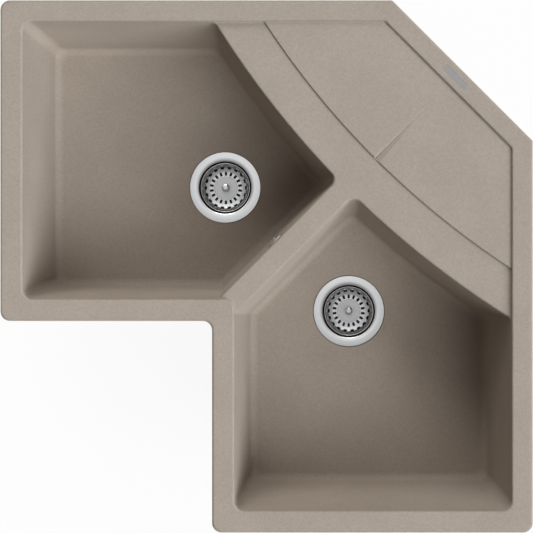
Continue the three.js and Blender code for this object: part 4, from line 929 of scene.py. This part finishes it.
def slot_side(radius, start):
    """Points of the dish's slot along a radius, from one spoke to the next, its ends rounded."""
    half = pi / DISH_SLOTS - asin(DISH_SPOKE_WIDTH / 2 / radius)
    parts = 6 if start < 0 else 4
    for k, share in enumerate(spread(parts, start, -start)):
        rounding = [2] if k in (0, parts) else []
        yield (radius * cos(share * half), radius * sin(share * half), *rounding)


outline = [*slot_side(SEAT_RADIUS - DISH_SLOT_BORDER, -1), *slot_side(CENTRE_HEAD + DISH_SLOT_BORDER, 1)]
slot = prism(outline, -DISH_DEPTH - 3 * SHEET, -DISH_DEPTH + SHEET)
slots = [turned(slot, (k + 0.5) * 360 / DISH_SLOTS) for k in range(DISH_SLOTS)]
at_drains("strainer_dish", dish_steel, "steel", lathe(dish, 128, 8), cut=slots)

seal_outer = FLANGE_RADIUS - SEAL_MARGIN
seal = tube(seal_outer, DRAIN_HOLE, GAP - RECESS_DEPTH, -SHEET - GAP, [0.3])
at_drains("flange_seal", black_rubber, "rubber", lathe(seal, 96))

under, socket = GAP - DISH_DEPTH, TIP_RADIUS + GAP
screw = [
    (0, spider_top - CENTRE_LENGTH), (CENTRE_RADIUS, spider_top - CENTRE_LENGTH, 0.8),
    (CENTRE_RADIUS, under), (CENTRE_HEAD, under, 0.3), (CENTRE_HEAD, under + 1, 1),
    (socket + SOCKET_WALL, under + CENTRE_HEAD_DEPTH, 1), (socket, under + CENTRE_HEAD_DEPTH, 0.4),
    (socket, stem_tip - 2 * GAP), (0, stem_tip - 2 * GAP)
]
at_drains("clamp_screw", satin_steel, "steel", lathe(screw))

flange = housing_outer + GASKET_WIDTH
gasket = tube(flange, housing_inner, housing_top + GAP, -FLOOR - GAP, [0.9], [0.4])
at_drains("lower_gasket", black_rubber, "rubber", lathe(gasket, 96))

# The basket: its steep side runs from the bend at the edge of its floor up to its bead.
hub = STEM_RADIUS + CLEARANCE
low = basket_floor - BASKET_STEP
bend = Vector((SIDE_FOOT_RADIUS, low + SIDE_FOOT_RISE))
top = Vector((BASKET_RADIUS - 2 * BASKET_BEAD, basket_rim - 2 * BASKET_BEAD))
way = (top - bend).normalized()
out = Vector((way.y, -way.x)) * BASKET_SHEET
under = [
    (hub, basket_floor - SHEET), (MIDDLE_RADIUS, basket_floor - SHEET),
    (MIDDLE_RADIUS + BASKET_STEP, low - BASKET_SHEET), (BASKET_FLOOR, low - BASKET_SHEET, 12),
    (*(bend + out), SIDE_FOOT_ROUND + BASKET_SHEET), tuple(top + out)
]
bead_x, bead_z = BASKET_RADIUS - BASKET_BEAD, basket_rim - BASKET_BEAD
bead = [
    (bead_x + BASKET_BEAD * cos(a), bead_z + BASKET_BEAD * sin(a)) for a in spread(14, -pi / 2, pi)[1:]
]
inside = [
    tuple(top), (*bend, SIDE_FOOT_ROUND), (BASKET_FLOOR, low, 12),
    (MIDDLE_RADIUS + BASKET_STEP, low, 0.4), (MIDDLE_RADIUS, basket_floor, 0.4), (hub, basket_floor)
]
basket = lathe([*under, *bead, *inside, under[0]], 144, 8)
slot = window(BASKET_SLOT_LENGTH, BASKET_SLOT_WIDTH, 1.2, low - 3, low + 1)
hole = window(BASKET_HOLE_LENGTH, BASKET_HOLE_WIDTH, 1.4, -3, 3)
hole_at = bend + (top - bend) * BASKET_HOLE_SHARE
hole = moved(hole, Matrix.Rotation(-atan2(way.y, way.x), 4, "Y"))
hole = turned(hole, 0, hole_at.x, 0, hole_at.y)
slot = turned(slot, 0, BASKET_SLOT_RADIUS)
pitch = 360 / BASKET_SLOTS
slots = [turned(slot, FIRST_SLOT + k * pitch) for k in range(BASKET_SLOTS)]
slots += [turned(hole, FIRST_SLOT + (k + 0.5) * pitch) for k in range(BASKET_SLOTS)]
at_drains("basket", basket_steel, "steel", basket, cut=slots, lifts=True)

base, socket = basket_floor + GAP, STEM_RADIUS + GAP
head = base + NECK_HEIGHT
foot, top = NECK_RADIUS + KNOB_FOOT, head + KNOB_HEIGHT
knob = [
    (0, head), (socket, head), (socket, base), (foot, base, 0.3), (foot, base + 1, 0.4),
    (NECK_RADIUS, base + 1.8, 1.2), (NECK_RADIUS, head, 1.2),
    (KNOB_RADIUS - 1, top - KNOB_SLOPE - KNOB_SKIRT - 1, 1),
    (KNOB_RADIUS, top - KNOB_SLOPE - KNOB_SKIRT, 0.8), (KNOB_RADIUS, top - KNOB_SLOPE, 0.6),
    (KNOB_FLAT_RADIUS, top, 0.4), (0, top)
]
at_drains("basket_knob", polished_steel, "polished_steel", lathe(knob), 50, lifts=True)

plug = [
    (socket, plug_bottom), (SEAT_RADIUS - PLUG_LIP, plug_bottom, 2),
    (plug_radius - PLUG_LIP / 3, plug_bottom + 0.15 * PLUG_DEPTH),
    (plug_radius, plug_bottom + 0.35 * PLUG_DEPTH, 0.4),
    (plug_radius - PLUG_LIP, plug_bottom + 0.65 * PLUG_DEPTH, 2),
    (plug_radius - 2 * PLUG_LIP, plug_top, 2), (socket, plug_top), (socket, plug_bottom)
]
at_drains("plug_seal", black_rubber, "rubber", lathe(plug, 96), lifts=True)

spacer = basket_floor - SHEET - GAP
collar, waist = STEM_RADIUS + STEM_COLLAR, TIP_RADIUS - STEM_WAIST
stem = [
    (0, stem_tip), (waist, stem_tip, 0.6), (TIP_RADIUS, stem_tip + TIP_RADIUS / 2, 1),
    (waist, stem_tip + TIP_RADIUS, 1), (waist, collar_under), (collar, collar_under, 0.4),
    (collar, plug_bottom - GAP, 0.2), (STEM_RADIUS, plug_bottom - GAP), (STEM_RADIUS, plug_top + GAP),
    (collar, plug_top + GAP, 0.3), (collar, spacer, 0.3), (STEM_RADIUS, spacer),
    (STEM_RADIUS, basket_floor + NECK_HEIGHT, 0.4), (0, basket_floor + NECK_HEIGHT)
]
at_drains("basket_stem", satin_steel, "steel", lathe(stem, 48), 50, lifts=True)


def outlet_thread():
    """The threaded end of the outlet, on which the trap's nut is screwed."""
    ridges = int(THREADED_LENGTH / OUTLET_PITCH)
    for k in range(ridges):
        z = outlet_end + 1 + k * OUTLET_PITCH
        yield (OUTLET_RADIUS - OUTLET_THREAD, z)
        yield (OUTLET_RADIUS, z + 0.35 * OUTLET_PITCH)
        yield (OUTLET_RADIUS, z + 0.55 * OUTLET_PITCH)
        yield (OUTLET_RADIUS - OUTLET_THREAD, z + 0.9 * OUTLET_PITCH)


IN_PORT = (
    Matrix.Translation((0, 0, port_z)) @ Matrix.Rotation(-pi / 4, 4, "Z") @ Matrix.Rotation(
        pi / 2, 4, "Y"
    )
)

housing = [
    (OUTLET_BORE, outlet_end), (OUTLET_RADIUS - OUTLET_THREAD, outlet_end), *outlet_thread(),
    (OUTLET_RADIUS, outlet_end + THREADED_LENGTH + 2, 0.5), (OUTLET_RADIUS, cone_bottom, 3),
    (housing_outer, cone_top, 6), (housing_outer, housing_top - HOUSING_RIM, 1.5),
    (flange, housing_top - HOUSING_RIM, 0.8), (flange, housing_top, 0.5),
    (housing_inner, housing_top, 0.5), (housing_inner, cone_top, 6), (OUTLET_BORE, cone_bottom, 3),
    (OUTLET_BORE, outlet_end)
]
low, half = spider_top - SPIDER_HEIGHT, SPIDER_ARM_WIDTH / 2
arm = block(0, housing_inner + 1, -half, half, low, spider_top)
spider = [turned(arm, SPIDER_TURN + k * 360 / SPIDER_ARMS) for k in range(SPIDER_ARMS)]
spider.append(rod(SPIDER_HUB, low, spider_top))
screw_hole = rod(CENTRE_RADIUS + GAP, low - 1, spider_top + 1)
root, shoulder = housing_inner + 0.5, housing_outer + PORT_COLLAR
reach = housing_outer + PORT_LENGTH
port = [
    (0, root), (HOSE_RADIUS, root), (HOSE_RADIUS, shoulder, 0.6), (SPIGOT_RADIUS, shoulder, 0.6),
    (SPIGOT_RADIUS, reach, 0.6), (0, reach)
]
port_bore = rod(SPIGOT_BORE, housing_inner / 2, reach + 1)
for side, x, y in DRAINS:
    joined, cut = list(spider), [screw_hole]
    if side == "left":
        joined.append(moved(lathe(port, 48), IN_PORT))
        cut.append(moved(port_bore, IN_PORT))
    made = piece("housing", lathe(housing, 96), 32, joined=joined, cut=cut)
    stood(made, f"{side}_waste_housing", (x, y, BOWL_Z))
    dressed(made, plastic, "plastic", f"{side}_waste_housing")

# ================ overflow
# A slotted stainless cover screwed through the divider's wall to a moulded chamber behind it,
# with a rubber gasket between. A spigot under the chamber takes the hose.
COVER_RADIUS, COVER_HEIGHT = 15.5, 2.6
COVER_EDGE, COVER_SLOPE = 0.8, 3
COVER_SLOTS, COVER_SLOT_START, COVER_SLOT_END, COVER_SLOT_WIDTH = 6, 5.5, 10.5, 3.2
OVERFLOW_GASKET, CHAMBER_RADIUS, CHAMBER_DEPTH, CHAMBER_WALL = 2, 15, 15, 2
POST_RADIUS, PILOT_FLOOR, SCREW_RADIUS = 4, 3, 2
SCREW_HEAD, SCREW_HEAD_HEIGHT = 4, 1.4
SPIGOT_LENGTH, SPIGOT_BARE = 28, 7

hole_back = -WALL - GAP
chamber_front = hole_back - OVERFLOW_GASKET - GAP
chamber_back = chamber_front - CHAMBER_DEPTH
spigot_across = overflow_wall - (CHAMBER_DEPTH / 2 - chamber_front) * cos(DRAFT)
spigot_top = overflow_z - CHAMBER_RADIUS


def in_overflow(node, finish, slot, shape, cut=()):
    """A piece that is made about its own Z axis and then stands in the overflow hole."""
    made = piece(f"{node}_look", shape, cut=cut)
    stand = IN_OVERFLOW.copy()
    stand.translation *= MM
    made.matrix_world = stand
    dressed(made, finish, slot, node)


cover = [
    (SCREW_RADIUS + GAP, GAP), (COVER_RADIUS, GAP, 0.2), (COVER_RADIUS, GAP + COVER_EDGE, 0.5),
    (COVER_RADIUS - COVER_SLOPE, COVER_HEIGHT, 1.5), (SCREW_RADIUS + GAP, COVER_HEIGHT, 0.2),
    (SCREW_RADIUS + GAP, GAP)
]
slot = window(COVER_SLOT_END - COVER_SLOT_START, COVER_SLOT_WIDTH, 1.5, -1, 4)
slot = turned(slot, 0, (COVER_SLOT_END + COVER_SLOT_START) / 2)
slots = [turned(slot, k * 360 / COVER_SLOTS) for k in range(COVER_SLOTS)]
in_overflow("overflow_cover", satin_steel, "steel", lathe(cover, 96), slots)

under = COVER_HEIGHT + GAP
top = under + SCREW_HEAD_HEIGHT
tip = chamber_back + PILOT_FLOOR + GAP
screw = [
    (0, tip), (SCREW_RADIUS, tip, 0.5), (SCREW_RADIUS, under), (SCREW_HEAD, under, 0.2),
    (SCREW_HEAD, under + 0.5, 0.5), (0.8 * SCREW_HEAD, top, 0.8), (0, top)
]
drive = [block(-5, 5, -0.5, 0.5, top - 0.8, top + 1)]
in_overflow("overflow_screw", polished_steel, "polished_steel", lathe(screw, 48), drive)

gasket_low = hole_back - OVERFLOW_GASKET
gasket = tube(CHAMBER_RADIUS, OVERFLOW_HOLE, gasket_low, hole_back, [0.5], [0.5])
in_overflow("overflow_gasket", black_rubber, "rubber", lathe(gasket))

chamber = [
    (0, chamber_back), (CHAMBER_RADIUS, chamber_back, 2.5), (CHAMBER_RADIUS, chamber_front, 0.4),
    (0, chamber_front)
]
inside = rod(CHAMBER_RADIUS - CHAMBER_WALL, chamber_back + CHAMBER_WALL, chamber_front + 1)
chamber = moved(lathe(chamber), IN_OVERFLOW)
chamber = piece("overflow_elbow_look", chamber, cut=[moved(inside, IN_OVERFLOW)])
spigot_at = mirror_place(spigot_across, 0)
low, root = spigot_top - SPIGOT_LENGTH, spigot_top + 2 * CHAMBER_WALL
spigot = lathe([(0, low), (SPIGOT_RADIUS, low, 0.5), (SPIGOT_RADIUS, root), (0, root)], 48)
bore = rod(SPIGOT_BORE, low - 1, root + 1)
post = rod(POST_RADIUS, chamber_back + 1, chamber_front)
pilot = rod(SCREW_RADIUS + GAP, chamber_back + PILOT_FLOOR, chamber_front + 1)
worked(
    chamber, joined=[moved(post, IN_OVERFLOW), turned(spigot, 0, spigot_at.x, spigot_at.y)],
    cut=[moved(pilot, IN_OVERFLOW), turned(bore, 0, spigot_at.x, spigot_at.y)]
)
dressed(chamber, plastic, "plastic", "overflow_elbow")

# ================ overflow hose
# A corrugated polypropylene hose, pushed over the spigot and the housing's port. It hangs between
# the bowls, turns under the left one, and is held at both ends by a ring nut.
ROOT_RADIUS, HOSE_RIBS, BEND_RADIUS = 8.2, 44, 77
HOSE_BORE = 6.5
HOSE_SIDES, RINGS_PER_RIB, RIB_FULLNESS, BEND_PARTS = 32, 8, 0.7, 24
NUT_RADIUS, NUT_LENGTH, NUT_LIP, NUT_GRIPS, NUT_GRIP_ROUND = 10.8, 12, 2, 8, 2

hose_top = spigot_top - SPIGOT_BARE
hose_level = BOWL_Z + port_z
hose_end = DRAIN_OFFSET - housing_outer - PORT_COLLAR - GAP
bend_top = hose_level + BEND_RADIUS
bend_end = spigot_across + BEND_RADIUS
down_length = hose_top - bend_top
bend_length = BEND_RADIUS * pi / 2
hose_length = down_length + bend_length + hose_end - bend_end


def hose_at(run):
    """The hose's middle at a run from its top, and the way it leads there, in the mirror plane."""
    if run < down_length:
        return (spigot_across, hose_top - run), (0, -1)
    if run > down_length + bend_length:
        return (bend_end + run - down_length - bend_length, hose_level), (1, 0)
    angle = (run - down_length) / BEND_RADIUS
    across = bend_end - BEND_RADIUS * cos(angle)
    return (across, bend_top - BEND_RADIUS * sin(angle)), (sin(angle), -cos(angle))


def hose_ring(run, radius):
    (across, z), (ahead, climb) = hose_at(run)
    middle = mirror_place(across, z)
    forward = Vector((-DIAGONAL * ahead, DIAGONAL * ahead, climb))
    normal = forward.cross(along)
    angles = (2 * pi * k / HOSE_SIDES for k in range(HOSE_SIDES))
    return [tuple(middle + along * radius * cos(a) + normal * radius * sin(a)) for a in angles]


plain = 2 * HOSE_RADIUS
pitch = (hose_length - 2 * plain) / HOSE_RIBS
stations = [(0, ROOT_RADIUS)]
for step in range(HOSE_RIBS * RINGS_PER_RIB + 1):
    swell = (0.5 - 0.5 * cos(2 * pi * step / RINGS_PER_RIB)) ** RIB_FULLNESS
    radius = ROOT_RADIUS + (HOSE_RADIUS - ROOT_RADIUS) * swell
    stations.append((plain + pitch * step / RINGS_PER_RIB, radius))
stations.append((hose_length, ROOT_RADIUS))
rings = [hose_ring(run, radius) for run, radius in stations]
rings += [hose_ring(run, HOSE_BORE) for run in spread(3 * BEND_PARTS, hose_length, 0)]
hose = piece("overflow_hose_look", loft(rings, round_again=True), 60)

hose_grey = new_finish("hose_polypropylene")
streak = noise(place(), 70.0, 2.0)
surface(
    blend(streak, (176, 177, 179), (190, 191, 193)), 0.45 + 0.12 * noise(place(), 900.0),
    bump(noise(place(), 1500.0), 0.00004, 0.3)
)
dressed(hose, hose_grey, "hose_plastic", "overflow_hose")
hose_path = [mirror_place(*hose_at(run)[0]) * MM for run in spread(2 * BEND_PARTS, 0, hose_length)]
hose_length * MM


def polygon(corners, *radii):
    """The corners of an outline that lie at the given radii in turn."""
    steps = [(2 * pi * k / corners, radii[k % len(radii)]) for k in range(corners)]
    return [(radius * cos(angle), radius * sin(angle)) for angle, radius in steps]


grips = [(*corner, NUT_GRIP_ROUND) for corner in polygon(NUT_GRIPS, NUT_RADIUS)]
chamfer = [
    (0, -1), (NUT_RADIUS - 1, -1), (NUT_RADIUS - 1, 0, 0.3), (NUT_RADIUS + 0.5, 1.2),
    (NUT_RADIUS + 0.5, NUT_LENGTH - 1.2), (NUT_RADIUS - 1, NUT_LENGTH, 0.3),
    (NUT_RADIUS - 1, NUT_LENGTH + 1), (0, NUT_LENGTH + 1)
]
first_nut = piece(
    "hose_nut", prism(grips, 0, NUT_LENGTH), kept=[lathe(chamfer)],
    cut=[rod(ROOT_RADIUS + CLEARANCE, -2, NUT_LENGTH + 2)]
)
upper_at = (spigot_at.x, spigot_at.y, hose_top - NUT_LENGTH + NUT_LIP)
lower_at = mirror_place(hose_end - NUT_LENGTH, hose_level)
for end, at, turn_z, tip_y in (("upper", upper_at, 0, 0), ("lower", lower_at, 135, 90)):
    made = stood(first_nut, f"hose_{end}_nut", at)
    made.rotation_euler = (0, radians(tip_y), radians(turn_z))
    dressed(made, plastic, "plastic", f"hose_{end}_nut")

# ================ fixing clamps
# Eight clamps round the rim: a zinc-plated bolt in a knurled brass insert that is cast into the
# sink, and a bent zinc-plated arm that swings out under the worktop and is drawn up by the bolt.
BOLT, BOLT_LENGTH, THREAD_PITCH, THREAD_DEPTH = 4.8, 26, 0.8, 0.35
BOLT_HEAD, BOLT_HEAD_HEIGHT = 5, 3.4
ARM_LENGTH, ARM_WIDTH, ARM_SHEET, ARM_RISE, ARM_FOOT, ARM_TRAVEL = 27, 13, 2, 8, 6, 4
KNURLS, KNURL_DEPTH = 28, 0.25

insert_low, insert_high = -BOSS_DEPTH, INSERT_TOP - GAP
clamp_under = -BOSS_DEPTH - ARM_TRAVEL - ARM_RISE - ARM_SHEET
bolt_head = clamp_under - GAP

knurled = polygon(2 * KNURLS, INSERT_RADIUS, INSERT_RADIUS - KNURL_DEPTH)
first_insert = piece(
    "clamp_insert", prism(knurled, insert_low, insert_high),
    cut=[rod(BOLT / 2 + GAP, insert_low - 1, insert_high + 1, 32)]
)

root, end = BOLT / 2 - THREAD_DEPTH, bolt_head + BOLT_LENGTH
shank = [(0, bolt_head - 1), (root, bolt_head - 1)]
for k in range(int((BOLT_LENGTH - 2) / THREAD_PITCH)):
    z = bolt_head + 1 + k * THREAD_PITCH
    shank += [(root, z), (BOLT / 2, z + THREAD_PITCH / 2)]
shank += [(root, end - 0.5), (root - 0.5, end), (0, end)]
low, wide = bolt_head - BOLT_HEAD_HEIGHT, BOLT_HEAD + 0.1
chamfer = [(0, low), (0.84 * BOLT_HEAD, low), (wide, low + 0.6), (wide, bolt_head), (0, bolt_head)]
first_bolt = piece(
    "clamp_bolt", prism(polygon(6, BOLT_HEAD), low, bolt_head), kept=[lathe(chamfer, 48)],
    joined=[lathe(shank, 32)]
)

half, low, top = ARM_WIDTH / 2, clamp_under, clamp_under + ARM_RISE
foot, face, bend = ARM_LENGTH - ARM_FOOT, ARM_LENGTH - ARM_SHEET, 1.5 * ARM_SHEET
side = [
    (-half - 1, low), (ARM_LENGTH, low, bend), (ARM_LENGTH, top, bend), (foot, top, 0.3),
    (foot, top - ARM_SHEET, 0.3), (face, top - ARM_SHEET, ARM_SHEET / 2),
    (face, low + ARM_SHEET, ARM_SHEET / 2), (-half - 1, low + ARM_SHEET)
]
strip = loft([[(x, y, z) for x, z in eased(side)] for y in (half + 1, -half - 1)])
round_end = [(half * cos(a), half * sin(a)) for a in spread(16, pi / 2, 3 * pi / 2)]
plan = [(ARM_LENGTH, half, 1.5), *round_end, (ARM_LENGTH, -half, 1.5)]
first_arm = piece(
    "clamp_arm", strip, kept=[prism(plan, low - 1, top + 1)],
    cut=[rod(BOLT / 2 + CLEARANCE, low - 1, low + ARM_SHEET + 1, 32)]
)

brass = new_finish("turned_brass")
tarnish = noise(place(), 150.0, 4.0)
surface(
    blend(tarnish, (205, 168, 96), (176, 138, 74)), 0.28 + 0.2 * tarnish,
    bump(noise(place(), 3000.0), 0.00003, 0.4), 1.0
)
zinc = new_finish("zinc_plate")
spangle = Wire.node("TexVoronoi", {"Vector": place(), "Scale": 420.0}, out="Color")
flake = Wire.node("SeparateColor", {0: spangle})
surface(
    blend(flake, (176, 180, 184), (200, 203, 205)), 0.34 + 0.16 * flake,
    bump(noise(place(), 2200.0), 0.00004, 0.4), 1.0
)

for number, (x, y, out) in enumerate(CLAMP_PLACES, 1):
    for side, at, away in (("left", (x, y, 0), out - 90), ("right", (y, x, 0), 180 - out)):
        name = f"{side}_{number}"
        insert = stood(first_insert, f"clamp_insert_{name}", at)
        dressed(insert, brass, "brass", f"clamp_insert_{name}")
        bolt = stood(first_bolt, f"clamp_bolt_{name}", at)
        dressed(bolt, zinc, "zinc", f"clamp_bolt_{name}")
        arm = stood(first_arm, f"clamp_{name}", at)
        arm.rotation_euler.z = radians(away)
        dressed(arm, zinc, "zinc", f"clamp_{name}", body=f"clamp_arm_{name}")

# ================ badge plate
# A thin satin metal plate, glued flush into the pocket in the cut-off rim. It is left bare.
PLATE_CLEARANCE, PLATE_SUNK = 0.15, 0.05

plate_length, plate_width = POCKET_LENGTH - 2 * PLATE_CLEARANCE, POCKET_WIDTH - 2 * PLATE_CLEARANCE
plate_bottom = RIM_TOP - POCKET_DEPTH + PLATE_SUNK
plate = badge_pocket(plate_length, plate_width, plate_bottom, RIM_TOP - PLATE_SUNK)
badge = piece("badge_plate_look", plate)
badge_grey = new_finish("satin_badge_metal")
drawing = {"Vector": place(), "Rotation": (0, 0, pi / 4), "Scale": (60, 2600, 60)}
drawn = Wire.node("Mapping", drawing)
grain = noise(drawn, 1.0, 3.0)
surface(
    blend(grain, (156, 157, 158), (170, 171, 172)), 0.36 + 0.1 * grain, bump(grain, 0.00002, 0.3), 0.6
)
dressed(badge, badge_grey, "steel")
